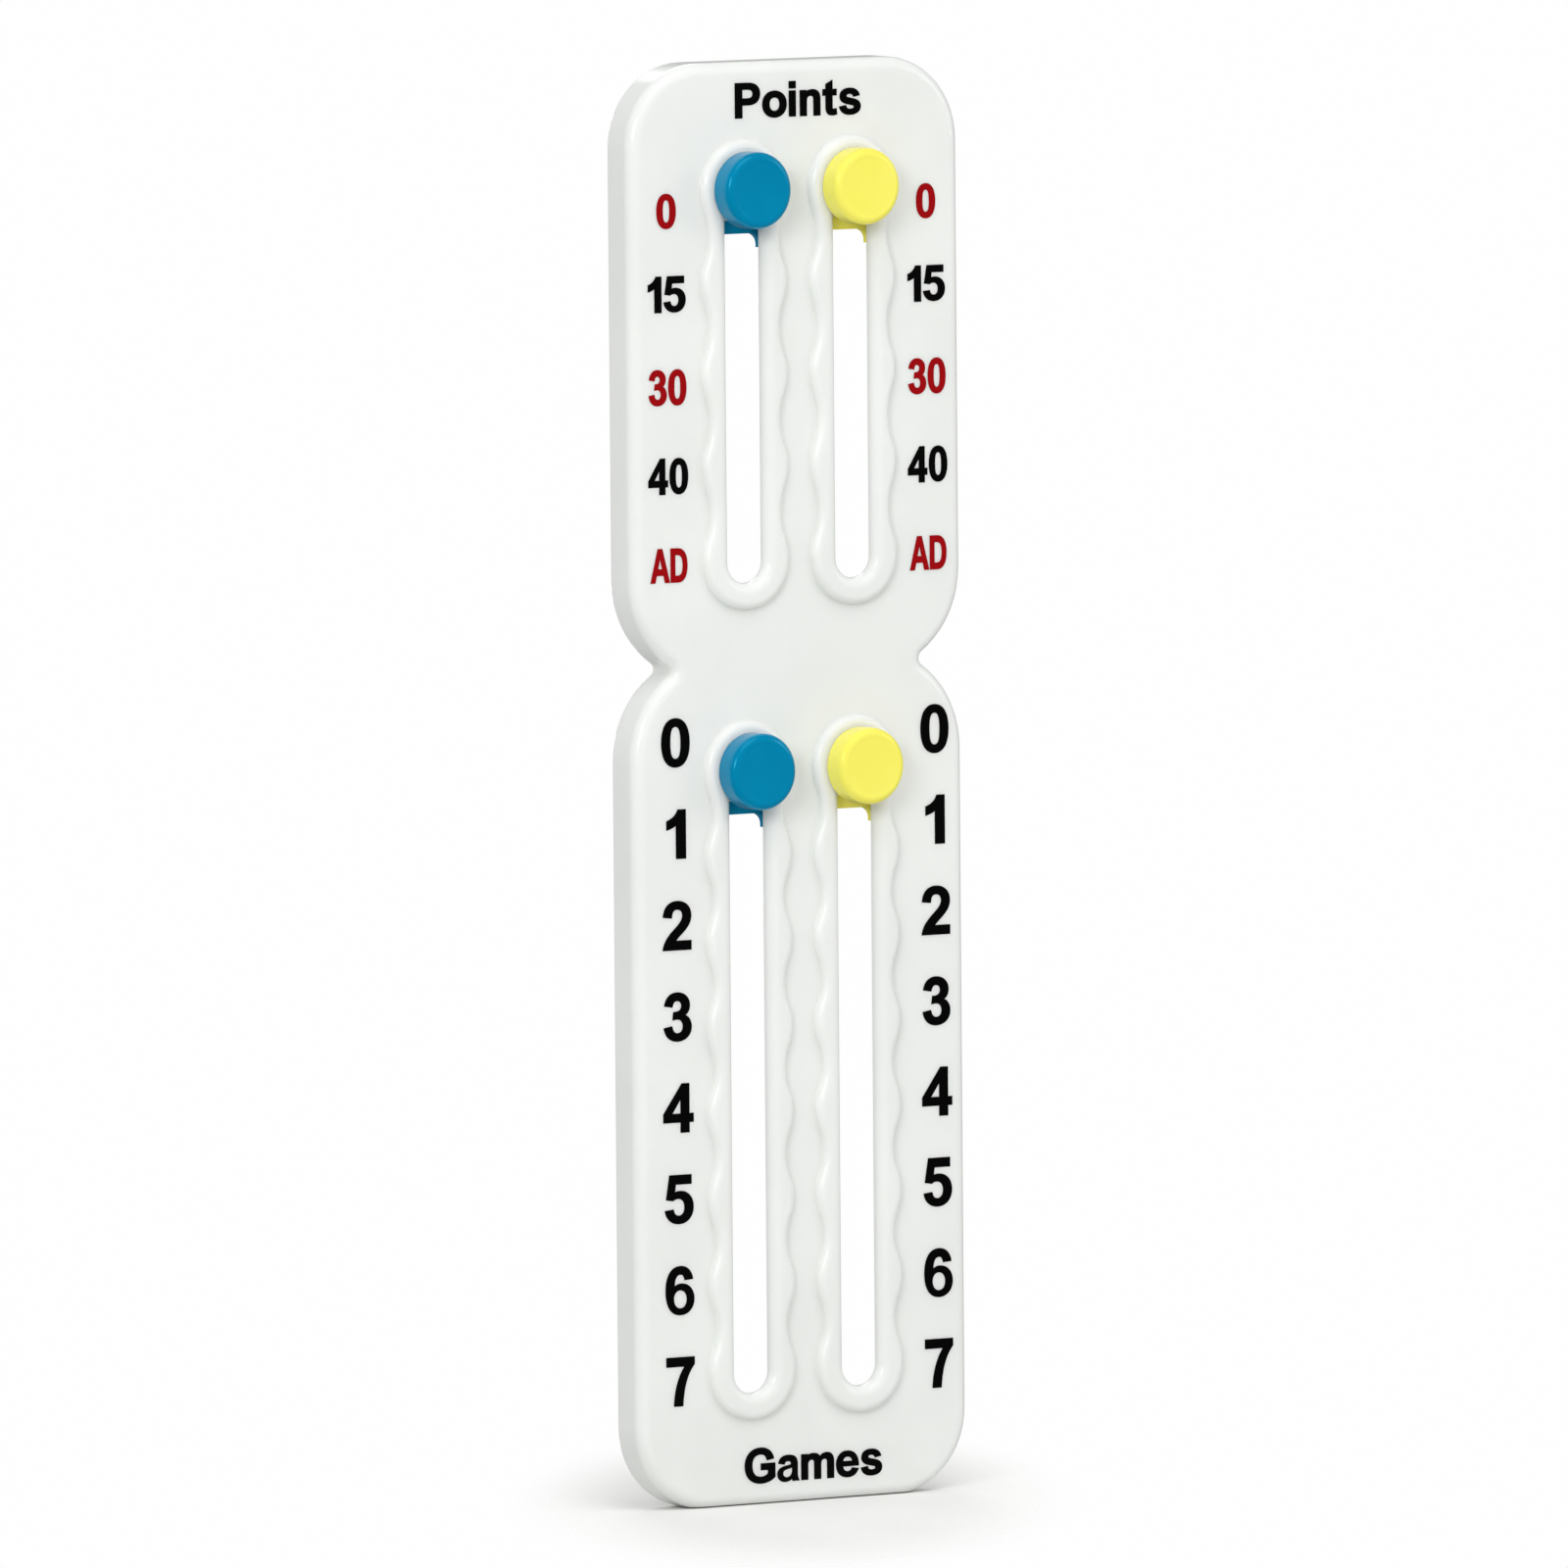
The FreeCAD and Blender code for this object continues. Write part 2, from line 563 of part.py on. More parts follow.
def make_click_spring(label):
    """Flat open ring on a hub, with a nib at each side that drops into the lobes behind the track."""
    body = new_body(label)
    outer = f"({RECESS_LOBE} - Sizes.slide_gap - Sizes.nib_height)"
    inner = f"({outer} - Sizes.spring_width)"
    hub = "Sizes.hub_diameter / 2"
    disc = sketch_at(body, "disc_sketch", SHOULDER)
    add_circle(disc, "0", "0", outer)
    pad(body, "disc", disc, "Sizes.spring_thickness")

    cut_start = f"{SHOULDER} - Sizes.overrun"
    cut_length = "Sizes.spring_thickness + 2 * Sizes.overrun"
    bridge_half = "Sizes.spring_bridge / 2"
    window = sketch_at(body, "window_sketch", cut_start)
    half, big, small = value(bridge_half), value(inner), value(hub)
    big_turn = math.asin(half / big)
    small_turn = math.asin(half / small)
    bottom = 3 * math.pi / 2
    window.addGeometry(arc(0, 0, big, bottom + big_turn, bottom + 2 * math.pi - big_turn))
    window.addGeometry(arc(0, 0, small, bottom + small_turn, bottom + 2 * math.pi - small_turn))
    big_drop, small_drop = -big * math.cos(big_turn), -small * math.cos(small_turn)
    window.addGeometry(Part.LineSegment(at(half, big_drop), at(half, small_drop)))
    window.addGeometry(Part.LineSegment(at(-half, big_drop), at(-half, small_drop)))
    for ring, line_end in ((0, 1), (1, 2)):
        window.addConstraint(Sketcher.Constraint("Coincident", ring, 3, -1, 1))
        window.addConstraint(Sketcher.Constraint("Coincident", ring, 1, 2, line_end))
        window.addConstraint(Sketcher.Constraint("Coincident", ring, 2, 3, line_end))
    for line in (2, 3):
        window.addConstraint(Sketcher.Constraint("Vertical", line))
    dimension(window, "Radius", 0, size=inner)
    dimension(window, "Radius", 1, size=hub)
    dimension(window, "DistanceX", -1, 1, 2, 1, size=bridge_half)
    dimension(window, "DistanceX", 3, 1, -1, 1, size=bridge_half)
    pocket(body, "window", window, cut_length)

    mouth = sketch_at(body, "mouth_sketch", cut_start)
    mouth_half = "Sizes.spring_mouth / 2"
    add_rectangle(mouth, f"-{mouth_half}", mouth_half, hub, f"{outer} + Sizes.overrun")
    pocket(body, "mouth", mouth, cut_length)

    nibs = sketch_at(body, "nib_sketch", SHOULDER)
    for sign in SIDES.values():
        add_circle(nibs, f"{sign} * ({outer} + Sizes.nib_height - Sizes.nib_radius)", "0", "Sizes.nib_radius")
    pad(body, "nibs", nibs, "Sizes.spring_thickness")

    keyway = sketch_at(body, "keyway_sketch", cut_start)
    key_half = "(Sizes.key_width / 2 + Sizes.fit_gap)"
    add_rectangle(keyway, f"-{key_half}", key_half, f"-{key_half}", key_half)
    pocket(body, "keyway", keyway, cut_length)
    return body


def make_slide_plate(label):
    """Plate behind the face that keeps the marker in: notched ends, a hub and a keyed screw hole."""
    body = new_body(label)
    half_width = "Sizes.plate_width / 2"
    half_length = "Sizes.plate_length / 2"
    blank = sketch_at(body, "blank_sketch", PLATE_FRONT)
    add_rectangle(blank, f"-{half_width}", half_width, f"-{half_length}", half_length)
    pad(body, "blank", blank, "Sizes.plate_thickness")

    cut_start = f"{PLATE_FRONT} - Sizes.overrun"
    notch_half = "Sizes.plate_notch_width / 2"
    corner = "Sizes.plate_notch_corner"
    notch_floor = f"({half_length} - Sizes.plate_notch_depth)"
    notch_mouth = f"({half_length} + {corner})"
    for end, low, high in (
        ("lower", f"-{notch_mouth}", f"-{notch_floor}"),
        ("upper", notch_floor, notch_mouth),
    ):
        notch = sketch_at(body, f"{end}_notch_sketch", cut_start)
        add_rounded_plate(notch, notch_half, low, high, corner, corner)
        pocket(body, f"{end}_notch", notch, "Sizes.plate_thickness + 2 * Sizes.overrun")

    thickness = value("Sizes.plate_thickness")
    outer = value(half_width)

    def at_corner(edge):
        """The plate's four outer corners, along Y."""
        box = edge.BoundBox
        along = math.isclose(box.YLength, thickness, rel_tol=edge.Tolerance)
        return along and math.isclose(abs(box.Center.x), outer, rel_tol=edge.Tolerance)

    round_edges(body, "corner_rounding", "Sizes.plate_corner_radius", at_corner)
    hub = sketch_at(body, "hub_sketch", SPRING_BACK)
    add_circle(hub, "0", "0", "Sizes.hub_diameter / 2")
    pad(body, "hub", hub, f"{PLATE_FRONT} - ({SPRING_BACK})")
    keyway = sketch_at(body, "keyway_sketch", SPRING_BACK)
    key_half = "(Sizes.key_width / 2 + Sizes.fit_gap)"
    add_rectangle(keyway, f"-{key_half}", key_half, f"-{key_half}", key_half)
    pocket(body, "keyway", keyway, "Sizes.key_reach + Sizes.fit_gap")
    hole = sketch_at(body, "screw_hole_sketch", cut_start)
    add_circle(hole, "0", "0", "Sizes.screw_diameter / 2 + Sizes.fit_gap")
    pocket(body, "screw_hole", hole, "Sizes.plate_thickness + 2 * Sizes.overrun")
    return body


def make_screw(label):
    """Pan-head screw that draws the plate and the spring against the neck of the knob."""
    body = new_body(label)
    shank = "Sizes.screw_diameter / 2"
    head = "Sizes.screw_head_diameter / 2"
    tip = f"{PLATE_BACK} - Sizes.screw_length"
    head_back = f"{PLATE_BACK} + Sizes.screw_head_height"
    profile = sketch_at(body, "screw_sketch", role="XY_Plane")
    add_polygon(profile, (
        ("0", tip), (shank, tip), (shank, PLATE_BACK), (head, PLATE_BACK), (head, head_back), ("0", head_back),
    ))
    revolve(body, "screw", profile)
    round_edges(body, "head_rounding", "Sizes.screw_head_edge", in_level(head_back))
    return body


def check_document():
    """Stops on any object that failed to build."""
    for item in doc.Objects:
        if "Invalid" in item.State or "Error" in item.State:
            raise RuntimeError(f"{item.Label}: {item.State}")


def write_parts(pieces):
    """Checks each piece's solid and writes it to its own file."""
    doc.recompute()
    check_document()
    for piece in pieces:
        shape = piece.Shape
        if shape.isNull() or not shape.isValid() or len(shape.Solids) != 1:
            raise RuntimeError(f"{piece.Label}: not one valid solid")
    os.makedirs("parts", exist_ok=True)
    for piece in pieces:
        piece.Shape.exportStep(os.path.join("parts", f"{piece.Label}.step"))
        print(f"{piece.Label}: {piece.Shape.Volume:.1f} mm3")


MARKER_PIECES = {
    "knob": make_knob,
    "click_spring": make_click_spring,
    "slide_plate": make_slide_plate,
    "screw": make_screw,
}

pieces = [make_board()]
for field in FIELDS:
    for side in SIDES:
        for kind, make in MARKER_PIECES.items():
            piece = make(f"{field}_{side}_{kind}")
            seat(piece, field, side)
            pieces.append(piece)
write_parts(pieces)
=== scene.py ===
"""Looks of the score keeper: moulded plastic, printed scores, screws and moulding marks in a studio."""

import json
import logging
import math
from collections.abc import Iterable
from dataclasses import dataclass, replace
from enum import Enum
from itertools import product

import bmesh
import bpy
from bpy.types import Curve, Material, Mesh, Node, NodeSocket, NodeTree, Object
from mathutils import Matrix, Vector

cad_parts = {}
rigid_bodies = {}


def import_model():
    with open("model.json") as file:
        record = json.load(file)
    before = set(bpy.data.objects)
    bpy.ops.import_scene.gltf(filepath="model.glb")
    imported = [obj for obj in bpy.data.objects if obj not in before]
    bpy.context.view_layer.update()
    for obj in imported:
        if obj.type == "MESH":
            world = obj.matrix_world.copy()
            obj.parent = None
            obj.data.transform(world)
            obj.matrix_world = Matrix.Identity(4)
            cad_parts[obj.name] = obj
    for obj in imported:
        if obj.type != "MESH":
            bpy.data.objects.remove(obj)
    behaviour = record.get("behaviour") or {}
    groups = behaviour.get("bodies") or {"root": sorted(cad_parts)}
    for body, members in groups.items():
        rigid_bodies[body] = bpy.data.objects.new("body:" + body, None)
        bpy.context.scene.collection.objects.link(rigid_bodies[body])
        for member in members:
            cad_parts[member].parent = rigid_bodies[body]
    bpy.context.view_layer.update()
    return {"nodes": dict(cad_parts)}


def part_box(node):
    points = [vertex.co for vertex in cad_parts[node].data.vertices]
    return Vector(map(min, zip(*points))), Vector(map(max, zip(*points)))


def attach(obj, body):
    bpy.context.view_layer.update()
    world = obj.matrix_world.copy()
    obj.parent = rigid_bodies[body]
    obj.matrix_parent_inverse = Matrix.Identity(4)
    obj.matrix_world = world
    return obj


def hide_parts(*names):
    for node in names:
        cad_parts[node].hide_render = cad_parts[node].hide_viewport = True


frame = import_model()

Pair = tuple[float, float]
Triple = tuple[float, float, float]
Contour = tuple[tuple[float, ...], ...]

LOG = logging.getLogger("score_keeper")
MM = 0.001
# Glyph units in the height of a capital
CAPITAL = 1000
# Inputs of every tree that has a row of points in it
ROW_SOCKETS = {"Count": "NodeSocketInt", "Start": "NodeSocketVector", "Pitch": "NodeSocketVector"}


class Side(Enum):
    """Side of the board as seen from the front."""

    LEFT = "left"
    RIGHT = "right"

    def slot(self) -> str:
        """Material slot of the markers on this side."""
        return "marker_blue" if self is Side.LEFT else "marker_yellow"


class Field(Enum):
    """Score field of the board."""

    POINTS = "points"
    GAMES = "games"


def linear(colour: str) -> tuple[float, float, float, float]:
    """Turns an sRGB hex colour into linear light.

    Args:
        colour: Six hex digits after a hash sign.

    Returns:
        Red, green, blue and an alpha of one.
    """
    shares = [int(colour[start:start + 2], 16) / 255 for start in (1, 3, 5)]
    light = [share / 12.92 if share <= 0.04045 else ((share + 0.055) / 1.055) ** 2.4 for share in shares]
    return (*light, 1.0)


def per_metre(size_mm: float) -> float:
    """Pattern scale that gives features of a size in millimetres."""
    return 1 / (size_mm * MM)


def turns(count: int) -> list[float]:
    """Angles that share out one full turn evenly."""
    return [2 * math.pi * index / count for index in range(count)]


def new_object(name: str, data: bpy.types.ID) -> Object:
    """Puts an object with its data into the scene and returns it."""
    made = bpy.data.objects.new(name, data)
    bpy.context.scene.collection.objects.link(made)
    return made


def add_node(
    tree: NodeTree,
    kind: str,
    inputs: dict[str | int, object] | None = None,
    stops: Iterable[tuple[float, str]] = (),
    **settings: object,
) -> Node:
    """Adds a node with its settings and links.

    Args:
        tree: Tree that takes the node.
        kind: Blender's name for the kind of node.
        inputs: Value or output socket for each input socket, by name or index.
        stops: Place and hex colour of each stop, where the node is a colour ramp.
        settings: Properties of the node itself.

    Returns:
        The new node.
    """
    node = tree.nodes.new(kind)
    for name, value in settings.items():
        setattr(node, name, value)
    for key, value in (inputs or {}).items():
        if isinstance(value, NodeSocket):
            tree.links.new(value, node.inputs[key])
        else:
            node.inputs[key].default_value = value
    for index, (place, colour) in enumerate(stops):
        node.color_ramp.elements[index].position = place
        node.color_ramp.elements[index].color = linear(colour)
    return node


def new_material(name: str) -> tuple[Material, NodeTree]:
    """Makes an empty node material of a name and returns it with its tree."""
    material = bpy.data.materials.new(name)
    material.use_nodes = True
    material.node_tree.nodes.clear()
    return material, material.node_tree


def surface(tree: NodeTree, inputs: dict[str, object]) -> None:
    """Ends a material's tree with one shader and the output that shows it.

    Args:
        tree: Tree of the material.
        inputs: Value or output socket for each of the shader's inputs.
    """
    shader = add_node(tree, "ShaderNodeBsdfPrincipled", inputs)
    add_node(tree, "ShaderNodeOutputMaterial", {"Surface": shader.outputs[0]})


@dataclass(frozen=True)
class Layer:
    """Cloudy pattern of a finish: the size of its features, its fineness, its depth and what else it sets."""

    size_mm: float
    detail: float
    depth_mm: float = 0.0
    tone: bool = False
    gloss: bool = False


@dataclass(frozen=True, eq=False)
class Finish:
    """Surface whose colour, gloss and relief follow fine patterns, with constants for all else."""

    name: str
    colours: tuple[str, str]
    layers: tuple[Layer, ...]
    shader: dict[str, object]
    roughness: Pair = (0.5, 0.5)
    tone_span: Pair = (0.35, 0.65)
    gloss_span: Pair = (0.3, 0.7)

    def material(self) -> Material:
        """Builds the finish as a node material."""
        material, tree = new_material(self.name)
        place = add_node(tree, "ShaderNodeTexCoord").outputs["Object"]
        inputs = {"Roughness": self.roughness[0], **self.shader}
        for layer in self.layers:
            size = {"Vector": place, "Scale": per_metre(layer.size_mm), "Detail": layer.detail}
            noise = add_node(tree, "ShaderNodeTexNoise", size).outputs[0]
            if layer.tone:
                tone = add_node(tree, "ShaderNodeValToRGB", {0: noise}, zip(self.tone_span, self.colours))
                inputs["Base Color"] = tone.outputs[0]
            if layer.gloss:
                spans = (noise, *self.gloss_span, *self.roughness)
                gloss = add_node(tree, "ShaderNodeMapRange", dict(enumerate(spans)))
                inputs["Roughness"] = gloss.outputs[0]
            if layer.depth_mm > 0:
                relief = {"Height": noise, "Distance": layer.depth_mm * MM}
                if "Normal" in inputs:
                    relief["Normal"] = inputs["Normal"]
                inputs["Normal"] = add_node(tree, "ShaderNodeBump", relief).outputs[0]
        surface(tree, inputs)
        return material


def scatter(weight: float, *depths_mm: float) -> dict[str, object]:
    """Shader inputs for light that goes into a plastic and comes out again, by the depth of each colour."""
    return {
        "Subsurface Weight": weight,
        "Subsurface Radius": [depth * MM for depth in depths_mm],
        "Subsurface Scale": 1.0,
    }


# Moulded plastics have flow tones, shallow sink waves and an eroded grain that also sets their gloss.
# Grain, ink spots and turning marks are drawn coarser than real ones, so that they show in a picture.
# White polypropylene board: near-white with a moulded gloss, slightly translucent, so thin rims look soft
BOARD_PLASTIC = Finish(
    name="white_polypropylene_moulding",
    colours=("#eceeeb", "#f0f2ef"),
    layers=(Layer(26.0, 3.0, tone=True), Layer(12.0, 1.0, 0.02), Layer(0.45, 4.0, 0.0015, gloss=True)),
    shader={"IOR": 1.49, "Specular IOR Level": 0.36, **scatter(0.6, 2.2, 2.3, 2.1)},
    roughness=(0.17, 0.23),
)
# Blue ABS markers: one solid colour with a moulded gloss, which gives short highlights on the rounded edges
BLUE_PLASTIC = Finish(
    name="blue_abs_moulding",
    colours=("#0082ac", "#0086b0"),
    layers=(Layer(9.0, 3.0, tone=True), Layer(7.0, 1.0, 0.012), Layer(0.3, 4.0, 0.0006, gloss=True)),
    shader={"IOR": 1.5, "Specular IOR Level": 0.6, "Specular Tint": linear("#60daff")},
    roughness=(0.14, 0.2),
)
# Yellow ABS markers: the same gloss on a pale colour that lets a little light in
YELLOW_PLASTIC = replace(
    BLUE_PLASTIC,
    name="yellow_abs_moulding",
    colours=("#fdf467", "#fff76e"),
    shader={
        **BLUE_PLASTIC.shader,
        "Specular IOR Level": 0.45,
        "Specular Tint": linear("#fff3a0"),
        **scatter(0.1, 0.5, 0.45, 0.1),
    },
)
# Acetal spring: uncoloured, waxy and matte
SPRING_PLASTIC = Finish(
    name="natural_acetal_moulding",
    colours=("#dedacd", "#e6e3d8"),
    layers=(Layer(6.0, 3.0, tone=True), Layer(12.0, 1.0, 0.03), Layer(0.45, 4.0, 0.004, gloss=True)),
    shader={"IOR": 1.48, **scatter(0.2, 0.8, 0.7, 0.5)},
    roughness=(0.42, 0.55),
)
# Zinc-plated steel: bluish bright metal with a cloudy plating and fine turning marks
SCREW_STEEL = Finish(
    name="zinc_plated_steel",
    colours=("#a9adb4", "#c9ccd1"),
    layers=(Layer(1.6, 4.0, tone=True, gloss=True), Layer(0.2, 2.0, 0.004)),
    shader={"Metallic": 1.0},
    roughness=(0.24, 0.42),
)
# Black pad-print ink: a flat, dense film that thins a little in fine spots, with almost no sheen
BLACK_INK = Finish(
    name="black_pad_ink",
    colours=("#090909", "#040404"),
    layers=(Layer(0.35, 2.0, 0.004, tone=True),),
    shader={"IOR": 1.5, "Specular IOR Level": 0.03},
    tone_span=(0.3, 0.6),
)
# Red pad-print ink: the same film in a deep, slightly dark red
RED_INK = replace(BLACK_INK, name="red_pad_ink", colours=("#9e0b11", "#98070d"))


@dataclass(frozen=True)
class Glyph:
    """Outline of a sign in thousandths of the capital height: its width and its closed contours.

    A contour is a start point followed by steps; a step of one point is a line, one of three is a curve.
    """

    width: float
    contours: tuple[Contour, ...]

    def turn(self) -> int:
        """Sense of the first contour: one if counterclockwise, with the ink on its left, else minus one."""
        ends = [step[-2:] for step in self.contours[0]]
        area = sum(a[0] * b[1] - b[0] * a[1] for a, b in zip(ends, ends[1:] + ends[:1]))
        return 1 if area > 0 else -1


GLYPHS: dict[str, Glyph] = {
    "0": Glyph(660, (
        ((330, 1000), (540, 1000, 660, 820, 660, 500), (660, 180, 540, 0, 330, 0), (120, 0, 0, 180, 0, 500),
         (0, 820, 120, 1000, 330, 1000)),
        ((330, 845), (230, 845, 195, 730, 195, 500), (195, 270, 230, 155, 330, 155),
         (430, 155, 465, 270, 465, 500), (465, 730, 430, 845, 330, 845)),
    )),
    "1": Glyph(400, (
        ((400, 0), (400, 1000), (240, 1000), (205, 880, 100, 800, 0, 770), (0, 600),
         (80, 622, 145, 655, 205, 705), (205, 0)),
    )),
    "2": Glyph(655, (
        ((0, 0), (655, 0), (655, 175), (285, 175), (310, 215, 345, 250, 410, 310),
         (560, 445, 655, 545, 655, 710), (655, 885, 525, 1000, 340, 1000), (150, 1000, 25, 895, 10, 690),
         (200, 670), (205, 790, 250, 845, 335, 845), (415, 845, 465, 790, 465, 705),
         (465, 610, 410, 545, 270, 415), (100, 260, 20, 150, 0, 0)),
    )),
    "3": Glyph(660, (
        ((0, 270), (20, 100, 145, 0, 325, 0), (520, 0, 660, 120, 660, 290), (660, 410, 590, 500, 480, 525),
         (570, 570, 620, 640, 620, 740), (620, 890, 500, 1000, 320, 1000), (150, 1000, 35, 900, 15, 745),
         (195, 715), (210, 800, 250, 845, 315, 845), (385, 845, 430, 800, 430, 730),
         (430, 640, 365, 590, 235, 595), (215, 448), (265, 458, 290, 460, 320, 460),
         (405, 460, 465, 395, 465, 300), (465, 210, 405, 150, 325, 150), (250, 150, 200, 205, 185, 300)),
    )),
    "4": Glyph(700, (
        ((410, 0), (600, 0), (600, 215), (700, 215), (700, 375), (600, 375), (600, 1000), (435, 1000),
         (0, 380), (0, 215), (410, 215)),
        ((410, 375), (180, 375), (410, 715)),
    )),
    "5": Glyph(665, (
        ((0, 265), (20, 105, 145, 0, 325, 0), (540, 0, 665, 150, 665, 345), (665, 540, 535, 665, 360, 665),
         (310, 665, 265, 655, 220, 630), (245, 825), (620, 825), (620, 1000), (110, 1000), (30, 510),
         (185, 485), (220, 515, 260, 525, 310, 525), (405, 525, 468, 450, 468, 340),
         (468, 220, 405, 150, 320, 150), (250, 150, 200, 200, 188, 285)),
    )),
    "6": Glyph(670, (
        ((640, 740), (620, 905, 505, 1000, 350, 1000), (130, 1000, 0, 820, 0, 490), (0, 165, 130, 0, 345, 0),
         (535, 0, 670, 130, 670, 325), (670, 510, 545, 635, 375, 635), (300, 635, 240, 605, 195, 550),
         (200, 750, 255, 845, 350, 845), (410, 845, 445, 805, 455, 725)),
        ((340, 490), (260, 490, 205, 425, 205, 325), (205, 220, 260, 148, 345, 148),
         (425, 148, 480, 210, 480, 320), (480, 430, 420, 490, 340, 490)),
    )),
    "7": Glyph(650, (
        ((0, 825), (440, 825), (290, 620, 185, 330, 175, 0), (370, 0), (385, 400, 500, 690, 650, 860),
         (650, 1000), (0, 1000)),
    )),
    "A": Glyph(985, (
        ((0, 0), (212, 0), (290, 225), (690, 225), (770, 0), (985, 0), (600, 1000), (385, 1000)),
        ((350, 390), (490, 765), (630, 390)),
    )),
    "D": Glyph(860, (
        ((0, 0), (390, 0), (690, 0, 860, 180, 860, 500), (860, 820, 690, 1000, 370, 1000), (0, 1000)),
        ((205, 170), (205, 830), (340, 830), (560, 830, 650, 720, 650, 500), (650, 280, 560, 170, 360, 170)),
    )),
    "P": Glyph(765, (
        ((0, 0), (205, 0), (205, 375), (420, 375), (640, 375, 765, 500, 765, 690),
         (765, 880, 650, 1000, 400, 1000), (0, 1000)),
        ((205, 545), (205, 830), (375, 830), (500, 830, 555, 780, 555, 688), (555, 595, 500, 545, 380, 545)),
    )),
    "G": Glyph(945, (
        ((905, 700), (870, 895, 720, 1015, 500, 1015), (195, 1015, 0, 815, 0, 500),
         (0, 185, 190, -15, 505, -15), (690, -15, 840, 50, 945, 150), (945, 545), (510, 545), (510, 378),
         (740, 378), (740, 248), (680, 195, 600, 155, 510, 155), (320, 155, 212, 280, 212, 508),
         (212, 725, 320, 845, 500, 845), (605, 845, 675, 790, 700, 660)),
    )),
    "a": Glyph(665, (
        ((205, 500), (220, 565, 255, 590, 325, 590), (405, 590, 435, 555, 432, 468),
         (400, 452, 350, 440, 240, 420), (75, 390, 0, 320, 0, 200), (0, 70, 90, -15, 235, -15),
         (325, -15, 400, 20, 455, 85), (458, 60, 465, 30, 478, 0), (665, 0), (628, 70, 618, 130, 618, 230),
         (620, 480), (620, 660, 540, 740, 340, 740), (160, 740, 60, 675, 30, 530)),
        ((432, 345), (400, 333, 360, 325, 300, 312), (225, 297, 190, 268, 190, 215),
         (190, 160, 225, 125, 285, 125), (375, 125, 432, 190, 432, 290)),
    )),
    "e": Glyph(700, (
        ((500, 230), (478, 160, 430, 130, 355, 130), (260, 130, 198, 200, 195, 310), (698, 310),
         (705, 580, 580, 740, 345, 740), (140, 740, 0, 590, 0, 360), (0, 125, 130, -15, 355, -15),
         (525, -15, 640, 60, 690, 200)),
        ((512, 430), (198, 430), (202, 530, 262, 592, 352, 592), (445, 592, 508, 530, 512, 430)),
    )),
    "i": Glyph(250, (
        ((0, 0), (192, 0), (192, 725), (0, 725)),
        ((0, 822), (192, 822), (192, 1000), (0, 1000)),
    )),
    "m": Glyph(1020, (
        ((0, 0), (192, 0), (192, 405), (192, 520, 240, 583, 325, 583), (388, 583, 415, 540, 415, 440),
         (415, 0), (607, 0), (607, 405), (607, 520, 655, 583, 735, 583), (800, 583, 828, 540, 828, 440),
         (828, 0), (1020, 0), (1020, 490), (1020, 655, 945, 740, 800, 740), (710, 740, 635, 700, 585, 622),
         (548, 700, 480, 740, 385, 740), (295, 740, 228, 718, 176, 680), (176, 725), (0, 725)),
    )),
    "n": Glyph(620, (
        ((0, 0), (192, 0), (192, 400), (192, 525, 240, 585, 325, 585), (395, 585, 428, 540, 428, 440),
         (428, 0), (620, 0), (620, 480), (620, 650, 545, 740, 395, 740), (305, 740, 232, 718, 178, 680),
         (178, 725), (0, 725)),
    )),
    "o": Glyph(740, (
        ((370, 740), (150, 740, 0, 590, 0, 365), (0, 135, 150, -15, 370, -15), (590, -15, 740, 135, 740, 365),
         (740, 590, 590, 740, 370, 740)),
        ((370, 575), (475, 575, 540, 490, 540, 363), (540, 235, 475, 150, 370, 150),
         (265, 150, 200, 235, 200, 363), (200, 490, 265, 575, 370, 575)),
    )),
    "s": Glyph(650, (
        ((0, 205), (25, 65, 130, -15, 325, -15), (530, -15, 650, 75, 650, 220),
         (650, 330, 575, 395, 420, 430), (300, 457), (235, 472, 205, 490, 205, 525),
         (205, 570, 245, 597, 315, 597), (385, 597, 425, 570, 440, 510), (620, 545),
         (590, 675, 490, 740, 310, 740), (120, 740, 15, 655, 15, 510), (15, 405, 85, 335, 225, 302),
         (385, 265), (440, 252, 460, 235, 460, 205), (460, 155, 410, 128, 330, 128),
         (250, 128, 205, 160, 190, 235)),
    )),
    "t": Glyph(430, (
        ((0, 725), (0, 570), (95, 570), (95, 220), (95, 55, 155, -15, 300, -15), (345, -15, 390, -8, 430, 10),
         (412, 158), (392, 150, 370, 145, 350, 145), (300, 145, 287, 170, 287, 250), (287, 570), (418, 570),
         (418, 725), (287, 725), (287, 985), (95, 880), (95, 725)),
    )),
}


@dataclass(frozen=True)
class Label:
    """Word or number of the print, with its inked size and a shift from its regular place, in millimetres."""

    text: str
    width: float
    height: float
    rise: float = 0.0


